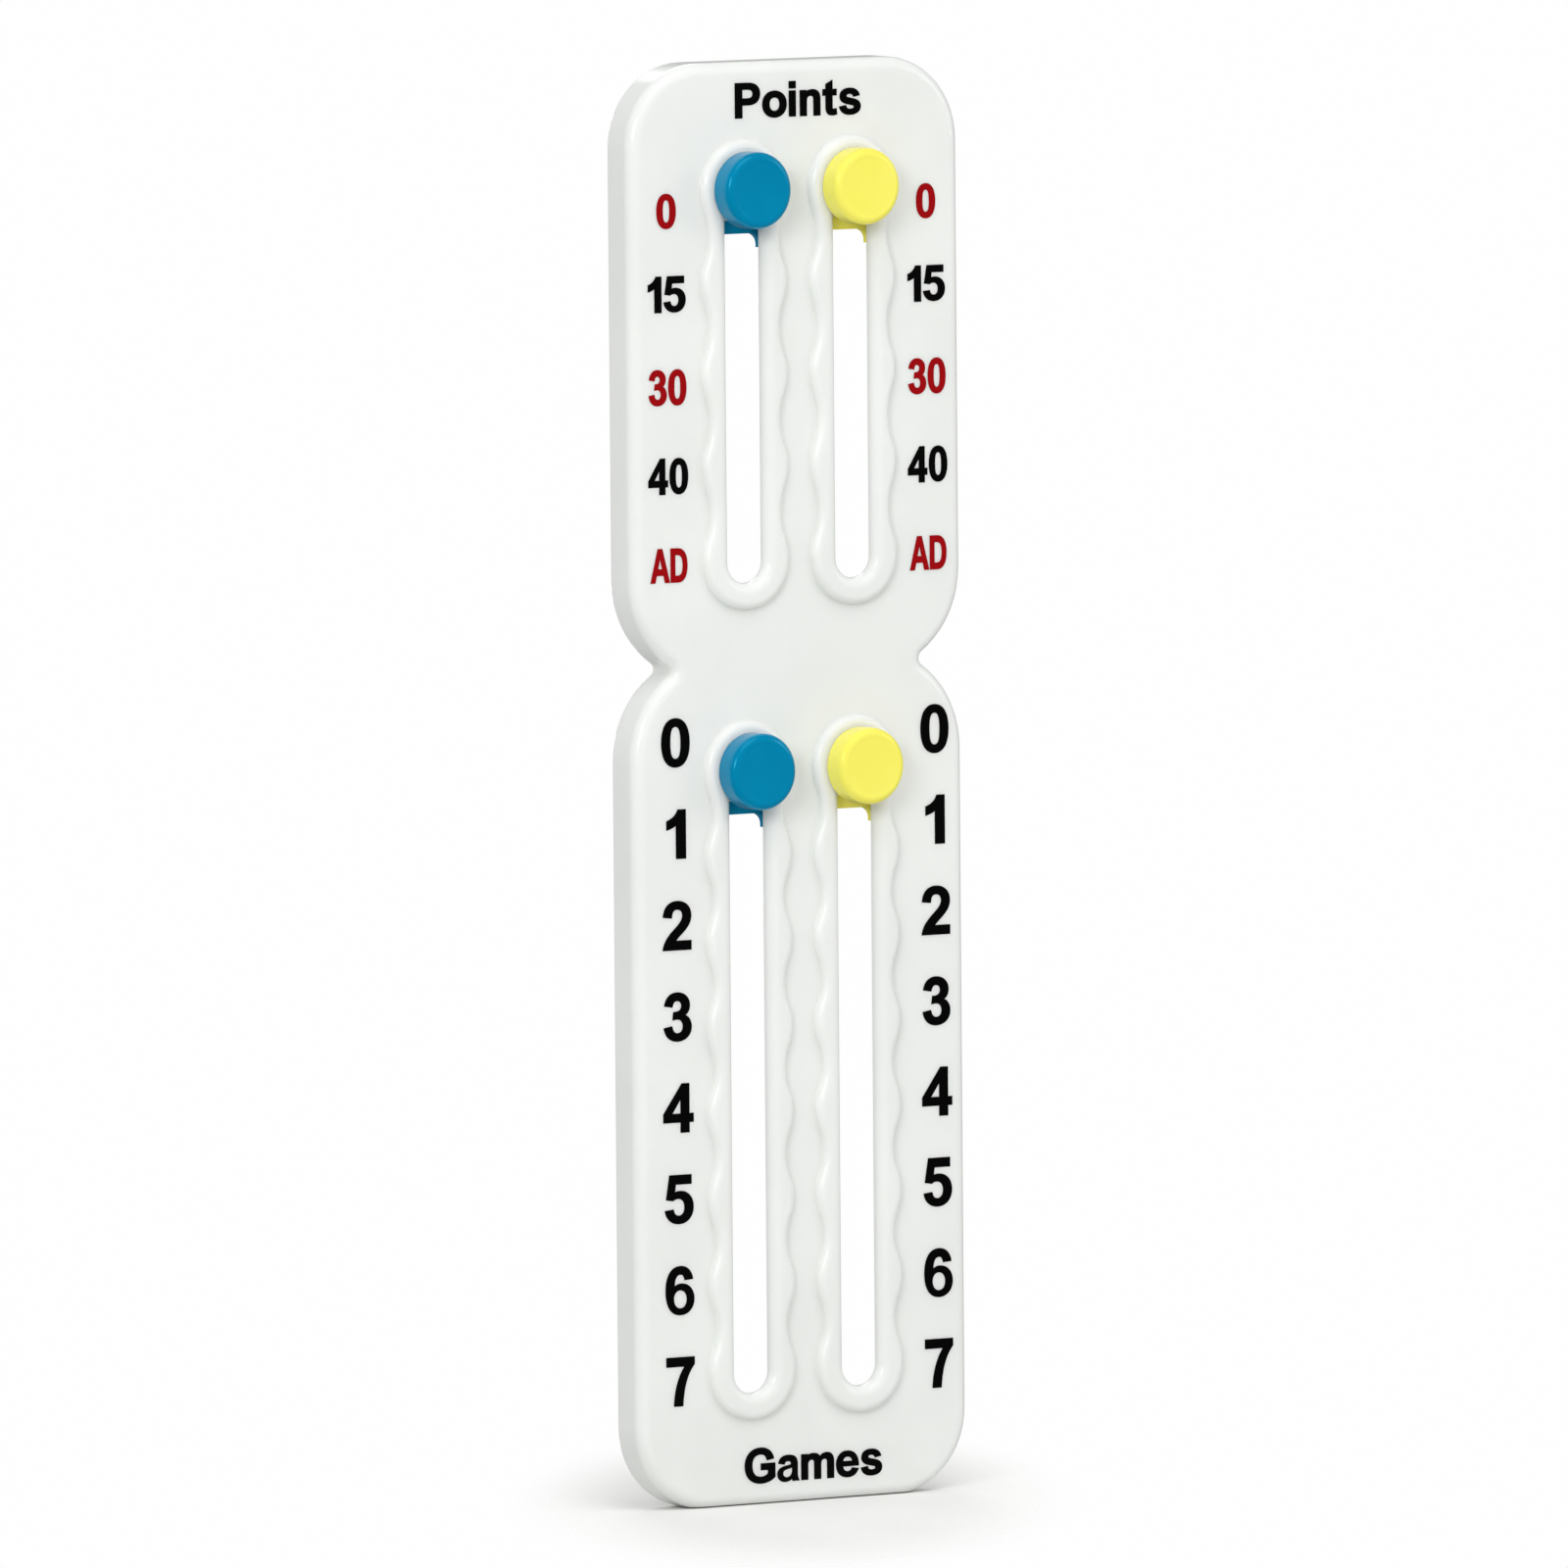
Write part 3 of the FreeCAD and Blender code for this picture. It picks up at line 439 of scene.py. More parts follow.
@dataclass
class Lettering:
    """Turns labels into thin printed meshes that stand on the XZ plane and face the front."""

    gap: float = 95.0
    film_mm: float = 0.04
    spread_mm: float = 0.15
    sharpest: float = 0.2
    steps: int = 10

    def spread(self, ring: list[Vector], turn: int) -> list[Vector]:
        """Moves the control points of a contour away from the ink, so that every stroke gets bolder.

        Args:
            ring: Control points of the closed contour, in order.
            turn: One where the ink lies on the left of the contour, minus one where it lies on the right.

        Returns:
            The moved points, in the same order.
        """
        moved = []
        for index, point in enumerate(ring):
            arrive = (point - ring[index - 1]).normalized()
            leave = (ring[(index + 1) % len(ring)] - point).normalized()
            sides = [Vector((along.y, -along.x, 0)) * turn for along in (arrive, leave)]
            bisector = (sides[0] + sides[1]) / max(1 + sides[0].dot(sides[1]), self.sharpest)
            moved.append(point + bisector * self.spread_mm * MM)
        return moved

    def spline(self, curve: Curve, contour: Contour, matrix: Matrix, turn: int) -> None:
        """Adds one closed contour to a curve.

        Args:
            curve: Curve that takes the spline.
            contour: Start point and steps of a glyph's contour.
            matrix: Places glyph units on the curve's plane.
            turn: One where the ink lies on the left of the contour, minus one where it lies on the right.
        """
        # A contour that doesn't come back to its start gets a closing line
        closing = () if contour[-1][-2:] == contour[0] else contour[:1]
        ends = [Vector((*contour[0], 0))]
        before = []
        after = []
        for step in contour[1:] + closing:
            points = [Vector((*step[index:index + 2], 0)) for index in range(0, len(step), 2)]
            start, end = ends[-1], points[-1]
            after.append(points[0] if len(points) == 3 else start.lerp(end, 1 / 3))
            before.append(points[1] if len(points) == 3 else start.lerp(end, 2 / 3))
            ends.append(end)
        # The last end is the first again, so its handle goes to the front
        ends.pop()
        before.insert(0, before.pop())
        ring = [matrix @ point for group in zip(before, ends, after) for point in group]
        bold = self.spread(ring, turn)
        spline = curve.splines.new("BEZIER")
        spline.bezier_points.add(len(ends) - 1)
        spline.use_cyclic_u = True
        for point, left, end, right in zip(spline.bezier_points, bold[0::3], bold[1::3], bold[2::3]):
            point.handle_left_type = point.handle_right_type = "FREE"
            point.handle_left = left
            point.co = end
            point.handle_right = right

    def mesh(self, label: Label) -> Mesh:
        """Draws a label as a mesh centred on the origin.

        Args:
            label: Text with its inked width and height.

        Returns:
            The mesh, with its front towards -Y.
        """
        curve = bpy.data.curves.new(f"outline_{label.text}", "CURVE")
        curve.dimensions = "2D"
        curve.fill_mode = "BOTH"
        curve.extrude = self.film_mm * MM
        curve.resolution_u = self.steps
        glyphs = [GLYPHS[sign] for sign in label.text]
        length = sum(glyph.width for glyph in glyphs) + self.gap * (len(glyphs) - 1)
        across = (label.width - 2 * self.spread_mm) * MM / length
        up = (label.height - 2 * self.spread_mm) * MM / CAPITAL
        start = -length / 2
        for glyph in glyphs:
            place = Matrix.Diagonal((across, up, 1, 1)) @ Matrix.Translation((start, -CAPITAL / 2, 0))
            for contour in glyph.contours:
                self.spline(curve, contour, place, glyph.turn())
            start += glyph.width + self.gap
        drawn = bpy.data.objects.new(curve.name, curve)
        mesh = bpy.data.meshes.new_from_object(drawn)
        bpy.data.objects.remove(drawn)
        bpy.data.curves.remove(curve)
        upright = Matrix.Rotation(math.pi / 2, 4, "X")
        mesh.transform(Matrix.Translation((0, 0, label.rise * MM)) @ upright)
        return mesh


def node_tree(name: str, inputs: dict[str, str]) -> tuple[NodeTree, Node, Node]:
    """Makes an empty geometry tree with named inputs and one geometry output.

    Args:
        name: Name of the tree.
        inputs: Socket type for each input's name.

    Returns:
        The tree, its input node and its output node.
    """
    tree = bpy.data.node_groups.new(name, "GeometryNodeTree")
    for label, kind in inputs.items():
        tree.interface.new_socket(label, in_out="INPUT", socket_type=kind)
    tree.interface.new_socket("Geometry", in_out="OUTPUT", socket_type="NodeSocketGeometry")
    return tree, add_node(tree, "NodeGroupInput"), add_node(tree, "NodeGroupOutput")


def row_tree(name: str, inputs: dict[str, str]) -> tuple[NodeTree, Node, Node, NodeSocket]:
    """Makes a geometry tree with a straight row of points in it.

    Args:
        name: Name of the tree.
        inputs: Socket type for each further input's name.

    Returns:
        The tree, its input node, its output node and the socket of the row.
    """
    tree, given, result = node_tree(name, {**ROW_SOCKETS, **inputs})
    ends = {"Count": "Count", "Start Location": "Start", "Offset": "Pitch"}
    row = add_node(tree, "GeometryNodeMeshLine", {key: given.outputs[label] for key, label in ends.items()})
    return tree, given, result, row.outputs[0]


def row_values(count: int, top_mm: Triple, pitch_mm: float) -> dict[str, object]:
    """Works out the inputs of a row that runs straight down.

    Args:
        count: Number of points.
        top_mm: Place of the first point.
        pitch_mm: Distance from point to point.

    Returns:
        Value for each of the row's inputs.
    """
    start = tuple(value * MM for value in top_mm)
    return {"Count": count, "Start": start, "Pitch": (0.0, 0.0, -pitch_mm * MM)}


def grow(name: str, tree: NodeTree, values: dict[str, object], place: Matrix = Matrix.Identity(4)) -> Object:
    """Evaluates a geometry tree into a plain mesh object at the origin.

    Args:
        name: Name of the piece.
        tree: Geometry tree to run.
        values: Value for each named input.
        place: Moves the mesh into the frame.

    Returns:
        The object, with no modifier left on it.
    """
    carrier = new_object(name, bpy.data.meshes.new(f"{name}_seed"))
    modifier = carrier.modifiers.new("grow", "NODES")
    modifier.node_group = tree
    sockets = {item.name: item.identifier for item in tree.interface.items_tree if item.in_out == "INPUT"}
    for label, value in values.items():
        modifier[sockets[label]] = value
    bpy.context.view_layer.update()
    graph = bpy.context.evaluated_depsgraph_get()
    mesh = bpy.data.meshes.new_from_object(carrier.evaluated_get(graph), depsgraph=graph)
    carrier.modifiers.remove(modifier)
    seed = carrier.data
    carrier.data = mesh
    bpy.data.meshes.remove(seed)
    mesh.name = name
    mesh.transform(place)
    mesh.update()
    return carrier


@dataclass
class PrintedColumn:
    """Labels of one ink in one column of the print, set down from the top at a regular pitch."""

    name: str
    labels: tuple[Label, ...]
    ink: Finish
    centre_x: float
    top_z: float
    pitch: float = 0.0
    face_y: float = -4.5

    def tree(self) -> NodeTree:
        """Builds the tree that sets a collection's labels on a line of points."""
        tree, given, result, row = row_tree(
            f"{self.name}_rows", {"Labels": "NodeSocketCollection", "Ink": "NodeSocketMaterial"}
        )
        sheet = {"Collection": given.outputs["Labels"], "Separate Children": True, "Reset Children": True}
        labels = add_node(tree, "GeometryNodeCollectionInfo", sheet)
        index = add_node(tree, "GeometryNodeInputIndex")
        pick = {"Instance": labels.outputs[0], "Pick Instance": True, "Instance Index": index.outputs[0]}
        placed = add_node(tree, "GeometryNodeInstanceOnPoints", {"Points": row, **pick})
        real = add_node(tree, "GeometryNodeRealizeInstances", {"Geometry": placed.outputs[0]})
        inked = add_node(
            tree, "GeometryNodeSetMaterial", {"Geometry": real.outputs[0], "Material": given.outputs["Ink"]}
        )
        tree.links.new(inked.outputs[0], result.inputs[0])
        return tree

    def build(self, lettering: Lettering, inks: dict[Finish, Material]) -> Object:
        """Prints the column on the board.

        Args:
            lettering: Draws the labels.
            inks: Material of each ink.

        Returns:
            The finished piece.
        """
        sheet = bpy.data.collections.new(f"{self.name}_labels")
        for number, label in enumerate(self.labels):
            drawn = bpy.data.objects.new(f"{self.name}_{number:02d}", lettering.mesh(label))
            sheet.objects.link(drawn)
        piece = grow(
            self.name,
            self.tree(),
            {
                **row_values(len(self.labels), (self.centre_x, self.face_y, self.top_z), self.pitch),
                "Labels": sheet,
                "Ink": inks[self.ink],
            },
        )
        for drawn in list(sheet.objects):
            bpy.data.objects.remove(drawn)
        bpy.data.collections.remove(sheet)
        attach(piece, "board")
        return piece


@dataclass
class ScorePrint:
    """Whole print of the board: a title and a column of scores at each side of both fields."""

    points_x: Pair = (-31.8, 32.0)
    games_x: Pair = (-30.6, 33.2)
    points_top: float = 269.7
    points_pitch: float = 18.35
    games_top: float = 159.5
    games_pitch: float = 18.99
    points_title: Pair = (0.7, 292.0)
    games_title: Pair = (1.9, 7.85)
    title_height: float = 7.4
    games_height: float = 10.3

    def columns(self) -> list[PrintedColumn]:
        """Lists every column and title of the print."""
        red = (Label("0", 4.8, 7.36), Label("30", 9.3, 7.57, 0.2), Label("AD", 9.1, 7.16))
        black = (Label("15", 9.3, 7.6, 1.15), Label("40", 9.8, 7.6, 0.15))
        widths = (7.02, 4.84, 7.1, 6.9, 7.5, 7.1, 7.1, 7.02)
        games = tuple(Label(str(number), width, self.games_height) for number, width in enumerate(widths))
        made = [
            PrintedColumn(
                f"{word.lower()}_title_print", (Label(word, width, self.title_height),), BLACK_INK, *place
            )
            for word, width, place in (("Points", 31.0, self.points_title), ("Games", 34.0, self.games_title))
        ]
        skip = 2 * self.points_pitch
        second = self.points_top - self.points_pitch
        for side, points_x, games_x in zip(Side, self.points_x, self.games_x):
            name = side.value
            made += [
                PrintedColumn(f"points_{name}_red_print", red, RED_INK, points_x, self.points_top, skip),
                PrintedColumn(f"points_{name}_black_print", black, BLACK_INK, points_x, second, skip),
                PrintedColumn(
                    f"games_{name}_print", games, BLACK_INK, games_x, self.games_top, self.games_pitch
                ),
            ]
        return made

    def build(self) -> list[Object]:
        """Prints all columns and returns their pieces."""
        lettering = Lettering()
        inks = {ink: ink.material() for ink in (BLACK_INK, RED_INK)}
        return [column.build(lettering, inks) for column in self.columns()]


def smooth_mesh(tree: NodeTree, geometry: NodeSocket, material: NodeSocket, crease_deg: float) -> NodeSocket:
    """Adds the end of a tree: real geometry, smooth up to a crease angle, with its material.

    Args:
        tree: Tree that takes the nodes.
        geometry: What was made so far.
        material: Material of every face.
        crease_deg: Angle above which an edge stays sharp.

    Returns:
        The finished geometry's socket.
    """
    real = add_node(tree, "GeometryNodeRealizeInstances", {"Geometry": geometry})
    smooth = add_node(tree, "GeometryNodeSetShadeSmooth", {"Geometry": real.outputs[0]})
    angle = add_node(tree, "GeometryNodeInputMeshEdgeAngle").outputs["Unsigned Angle"]
    crease = math.radians(crease_deg)
    sharp = add_node(tree, "ShaderNodeMath", {0: angle, 1: crease}, operation="GREATER_THAN")
    edges = {"Geometry": smooth.outputs[0], "Selection": sharp.outputs[0], "Shade Smooth": False}
    creased = add_node(tree, "GeometryNodeSetShadeSmooth", edges, domain="EDGE")
    named = add_node(tree, "GeometryNodeSetMaterial", {"Geometry": creased.outputs[0], "Material": material})
    return named.outputs[0]


@dataclass
class PanHeadScrew:
    """Self-tapping screw: a domed head with a cross recess, a threaded shank and a blunt point."""

    head_height: float = 1.8
    shank_share: float = 2.8 / 5.5
    pitch: float = 0.9
    thread_height: float = 0.25
    point_length: float = 1.5
    crown_share: float = 0.55
    crown_power: float = 4.0
    seat_share: float = 0.01
    point_share: float = 0.5
    recess_length: float = 3.2
    recess_width: float = 0.85
    recess_depth: float = 1.1
    sides: int = 48
    rings: int = 90
    crease_deg: float = 40.0

    def tree(self) -> NodeTree:
        """Builds the tree that turns a cylinder into a screw along Z, with its head's seat at zero."""
        lengths = (
            "Length", "Head Height", "Head Radius", "Shank Radius", "Pitch", "Thread Height", "Point Length",
            "Recess Length", "Recess Width", "Recess Depth",
        )
        tree, given, result = node_tree(
            "pan_head_screw", {**dict.fromkeys(lengths, "NodeSocketFloat"), "Steel": "NodeSocketMaterial"}
        )
        size = {length: given.outputs[length] for length in lengths}
        spot = add_node(tree, "GeometryNodeInputPosition").outputs[0]
        size["x"], size["y"], size["along"] = add_node(tree, "ShaderNodeSeparateXYZ", {0: spot}).outputs
        for name, operation, *values in self.sums():
            inputs = {index: size.get(value, value) for index, value in enumerate(values)}
            size[name] = add_node(tree, "ShaderNodeMath", inputs, operation=operation).outputs[0]
        bar = {"Vertices": self.sides, "Side Segments": self.rings, "Radius": 1.0, "Depth": size["total"]}
        blank = add_node(tree, "GeometryNodeMeshCylinder", bar).outputs[0]
        place = {0: size["wide"], 1: size["deep"], 2: size["height"]}
        turned = add_node(tree, "ShaderNodeCombineXYZ", place).outputs[0]
        screw = add_node(tree, "GeometryNodeSetPosition", {"Geometry": blank, "Position": turned}).outputs[0]
        cut = add_node(tree, "GeometryNodeMeshBoolean", {0: screw}, operation="DIFFERENCE", solver="EXACT")
        lift = add_node(tree, "ShaderNodeCombineXYZ", {2: size["Head Height"]})
        for wide, deep in (("Recess Length", "Recess Width"), ("Recess Width", "Recess Length")):
            sides = {0: size[wide], 1: size[deep], 2: size["recess"]}
            block = add_node(tree, "ShaderNodeCombineXYZ", sides)
            wing = add_node(tree, "GeometryNodeMeshCube", {"Size": block.outputs[0]})
            place = {"Geometry": wing.outputs[0], "Translation": lift.outputs[0]}
            tree.links.new(add_node(tree, "GeometryNodeTransform", place).outputs[0], cut.inputs[1])
        done = smooth_mesh(tree, cut.outputs[0], given.outputs["Steel"], self.crease_deg)
        tree.links.new(done, result.inputs[0])
        return tree

    def sums(self) -> tuple[tuple[object, ...], ...]:
        """Lists the sums of the screw's shape: a name, an operation, and numbers or earlier names."""
        return (
            ("total", "ADD", "Length", "Head Height"),
            ("raised", "MULTIPLY_ADD", "total", 0.5, "along"),
            ("height", "SUBTRACT", "raised", "Length"),
            # Domed head
            ("climb", "DIVIDE", "height", "Head Height"),
            ("rise", "POWER", "climb", self.crown_power),
            ("fall", "SUBTRACT", 1.0, "rise"),
            ("square", "MAXIMUM", "fall", 0.0),
            ("dome", "SQRT", "square"),
            ("crown", "MULTIPLY_ADD", "dome", 1.0 - self.crown_share, self.crown_share),
            ("head", "MULTIPLY", "Head Radius", "crown"),
            # Threaded shank
            ("turn", "ARCTAN2", "y", "x"),
            ("lead", "DIVIDE", "turn", 2 * math.pi),
            ("windings", "DIVIDE", "height", "Pitch"),
            ("wound", "SUBTRACT", "windings", "lead"),
            ("phase", "FRACT", "wound"),
            ("swing", "MULTIPLY", "phase", 2.0),
            ("ridge", "PINGPONG", "swing", 1.0),
            ("valley", "SUBTRACT", 1.0, "ridge"),
            ("groove", "MULTIPLY", "valley", "Thread Height"),
            ("shank", "SUBTRACT", "Shank Radius", "groove"),
            # Blunt point
            ("reach", "ADD", "height", "Length"),
            ("tip", "DIVIDE", "reach", "Point Length"),
            ("taper", "MULTIPLY_ADD", "tip", 1.0 - self.point_share, self.point_share),
            ("narrow", "MINIMUM", "taper", 1.0),
            ("pointed", "MULTIPLY", "shank", "narrow"),
            # Radius of the head above the seat, and of the shank below it
            ("seat", "MULTIPLY", "Head Height", self.seat_share),
            ("in_head", "GREATER_THAN", "height", "seat"),
            ("gain", "SUBTRACT", "head", "pointed"),
            ("radius", "MULTIPLY_ADD", "in_head", "gain", "pointed"),
            ("wide", "MULTIPLY", "x", "radius"),
            ("deep", "MULTIPLY", "y", "radius"),
            ("recess", "MULTIPLY", "Recess Depth", 2.0),
        )

    def build(self, node: str, tree: NodeTree, steel: Material) -> Object:
        """Makes the screw in the place of a CAD node.

        Args:
            node: Name of the node that it stands for.
            tree: The screw's geometry tree.
            steel: Finish of the screw.

        Returns:
            The finished piece.
        """
        low, high = (Vector(corner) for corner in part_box(node))
        head_height = self.head_height * MM
        across = (high - low).x / 2
        seat = Vector(((low.x + high.x) / 2, high.y - head_height, (low.z + high.z) / 2))
        return grow(
            f"{node}_detailed",
            tree,
            {
                "Length": seat.y - low.y,
                "Head Height": head_height,
                "Head Radius": across,
                "Shank Radius": across * self.shank_share,
                "Pitch": self.pitch * MM,
                "Thread Height": self.thread_height * MM,
                "Point Length": self.point_length * MM,
                "Recess Length": self.recess_length * MM,
                "Recess Width": self.recess_width * MM,
                "Recess Depth": self.recess_depth * MM,
                "Steel": steel,
            },
            Matrix.Translation(seat) @ Matrix.Rotation(-math.pi / 2, 4, "X"),
        )


@dataclass
class FingerKnob:
    """Round finger knob: a hollow cup with a soft edge and a low rim round its face, on a keyed neck."""

    height: float = 5.3
    wall: float = 1.5
    edge_radius: float = 1.5
    rim_width: float = 0.8
    step_depth: float = 0.06
    dish_depth: float = 0.12
    neck_half: float = 4.2
    neck_reach: float = 0.4
    key_half: float = 2.2
    key_length: float = 2.0
    sides: int = 128
    steps: int = 10
    crease_deg: float = 40.0

    def section(self, radius: float) -> list[Pair]:
        """Half section of the cup.

        Args:
            radius: Outer radius of the cup.

        Returns:
            Radius and depth below the rim's crest, from the middle of the face round to the hollow.
        """
        crest = radius - self.edge_radius
        foot = crest - self.rim_width
        shares = [step / self.steps for step in range(self.steps)]
        dish = [(foot * at, self.dish_depth - (self.dish_depth - self.step_depth) * at ** 2) for at in shares]
        rise = [(foot + self.rim_width * at, self.step_depth * (1 - at * at * (3 - 2 * at))) for at in shares]
        angles = [math.pi / 2 * at for at in shares]
        bend = self.edge_radius
        edge = [(crest + bend * math.sin(angle), bend * (1 - math.cos(angle))) for angle in angles]
        inner = radius - self.wall
        cup = [(radius, self.edge_radius), (radius, self.height), (inner, self.height), (inner, self.wall)]
        return dish + rise + edge + cup + [(0.0, self.wall)]

    def turn(self, shape: bmesh.types.BMesh, section: list[Pair]) -> None:
        """Adds the solid that a half section makes when it turns about the knob's axis.

        Args:
            shape: Mesh under construction.
            section: Radius and depth of each point.
        """
        angles = turns(self.sides)
        rings = []
        for radius, depth in section:
            used = angles if radius > 0 else angles[:1]
            rings.append([shape.verts.new((radius * math.cos(a), depth, radius * math.sin(a))) for a in used])
        for near, far in zip(rings, rings[1:]):
            for index in range(self.sides):
                corners = [ring[at % len(ring)] for ring, at in (
                    (near, index), (near, index + 1), (far, index + 1), (far, index)
                )]
                shape.faces.new(list(dict.fromkeys(corners)))

    def extrude(self, shape: bmesh.types.BMesh, outline: list[Pair], start: float, end: float) -> None:
        """Adds a straight prism along the knob's axis.

        Args:
            shape: Mesh under construction.
            outline: Corners across the axis.
            start: Depth of its front.
            end: Depth of its back.
        """
        front, back = ([shape.verts.new((x, y, z)) for x, z in outline] for y in (start, end))
        shape.faces.new(front)
        shape.faces.new(back)
        for index in range(len(outline)):
            last = index - 1
            shape.faces.new((front[last], front[index], back[index], back[last]))

    def build(self, node: str, plastic: Material) -> Object:
        """Makes the knob in the place of a CAD node.

        Args:
            node: Name of the node that it stands for.
            plastic: Finish of the knob.

        Returns:
            The finished piece.
        """
        low, high = (Vector(corner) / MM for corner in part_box(node))
        end = high.y - low.y
        shoulder = end - self.key_length
        shape = bmesh.new()
        self.turn(shape, self.section((high - low).x / 2))
        neck = []
        for angle in turns(self.sides):
            x, z = self.neck_half * math.cos(angle), self.neck_half * math.sin(angle)
            neck.append((x, z + math.copysign(self.neck_reach, z)))
        half = self.key_half
        key = [(-half, -half), (half, -half), (half, half), (-half, half)]
        # Neck and key each start inside the piece before, so that no gap shows
        self.extrude(shape, neck, self.wall / 2, shoulder)
        self.extrude(shape, key, shoulder - half, end)
        bmesh.ops.recalc_face_normals(shape, faces=shape.faces)
        mesh = bpy.data.meshes.new(f"{node}_detailed")
        shape.to_mesh(mesh)
        shape.free()
        middle = Vector(((low.x + high.x) / 2, low.y, (low.z + high.z) / 2))
        mesh.transform(Matrix.Diagonal((MM, MM, MM, 1.0)) @ Matrix.Translation(middle))
        mesh.polygons.foreach_set("use_smooth", [True] * len(mesh.polygons))
        mesh.set_sharp_from_angle(angle=math.radians(self.crease_deg))
        mesh.materials.append(plastic)
        return new_object(mesh.name, mesh)


@dataclass
class EjectorMarks:
    """Faint rings that the mould's ejector pins leave on the hidden back of the face."""

    columns_x: Pair = (-32.0, 32.0)
    back_y: float = -2.3
    rows: int = 7
    top_z: float = 276.0
    pitch: float = 41.0
    radius: float = 2.0
    bead: float = 0.06
    ring_sides: int = 48
    bead_sides: int = 10
    crease_deg: float = 60.0

    def tree(self) -> NodeTree:
        """Builds the tree that sets thin rings on a line of points."""
        tree, given, result, row = row_tree(
            "ejector_marks",
            {"Radius": "NodeSocketFloat", "Bead": "NodeSocketFloat", "Plastic": "NodeSocketMaterial"},
        )
        curves = {}
        rounds = {"Curve": (self.ring_sides, "Radius"), "Profile Curve": (self.bead_sides, "Bead")}
        for key, (sides, label) in rounds.items():
            size = {"Resolution": sides, "Radius": given.outputs[label]}
            curves[key] = add_node(tree, "GeometryNodeCurvePrimitiveCircle", size).outputs[0]
        ring = add_node(tree, "GeometryNodeCurveToMesh", curves)
        upright = {"Instance": ring.outputs[0], "Rotation": (math.pi / 2, 0.0, 0.0)}
        placed = add_node(tree, "GeometryNodeInstanceOnPoints", {"Points": row, **upright})
        done = smooth_mesh(tree, placed.outputs[0], given.outputs["Plastic"], self.crease_deg)
        tree.links.new(done, result.inputs[0])
        return tree

    def build(self, plastic: Material) -> list[Object]:
        """Sets one column of marks behind each side of the face.

        Args:
            plastic: Finish of the board.

        Returns:
            The finished pieces.
        """
        tree = self.tree()
        made = []
        for side, x in zip(Side, self.columns_x):
            marks = grow(
                f"ejector_marks_{side.value}",
                tree,
                {
                    **row_values(self.rows, (x, self.back_y, self.top_z), self.pitch),
                    "Radius": self.radius * MM,
                    "Bead": self.bead * MM,
                    "Plastic": plastic,
                },
            )
            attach(marks, "board")
            made.append(marks)
        return made


def dress(node: str, material: Material) -> None:
    """Gives a CAD node its finish.

    Args:
        node: Name of the node.
        material: Finish for the whole node.
    """
    mesh = frame["nodes"][node].data
    mesh.materials.clear()
    mesh.materials.append(material)
    LOG.info("dressed %s in %s", node, material.name)


@dataclass
class Board:
    """Moulded board with its print and its moulding marks."""

    score: ScorePrint
    marks: EjectorMarks

    def build(self) -> None:
        """Dresses the board, prints its scores and marks its back."""
        plastic = BOARD_PLASTIC.material()
        dress("board", plastic)
        for piece in self.score.build() + self.marks.build(plastic):
            LOG.info("added %s", piece.name)


@dataclass
class Markers:
    """The sliding markers: each has a knob, a click spring, a slide plate and a screw."""

    knob: FingerKnob
    screw: PanHeadScrew

    def build(self) -> None:
        """Dresses every marker and puts a detailed knob and screw in the place of its plain ones."""
        colours = {Side.LEFT: BLUE_PLASTIC.material(), Side.RIGHT: YELLOW_PLASTIC.material()}
        spring, steel = SPRING_PLASTIC.material(), SCREW_STEEL.material()
        thread = self.screw.tree()
        for field, side in product(Field, Side):
            base = f"{field.value}_{side.value}"
            dress(f"{base}_slide_plate", colours[side])
            dress(f"{base}_click_spring", spring)
            pieces = {
                "knob": (self.knob.build(f"{base}_knob", colours[side]), side.slot()),
                "screw": (self.screw.build(f"{base}_screw", thread, steel), "screw_steel"),
            }
            for kind, (piece, slot) in pieces.items():
                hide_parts(f"{base}_{kind}")
                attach(piece, f"{base}_marker")
                LOG.info("made %s", piece.name)


@dataclass(frozen=True)
class SoftBox:
    """Square soft light: its place and side in metres, and its power in watts."""

    name: str
    place: Triple
    side: float
    watts: float


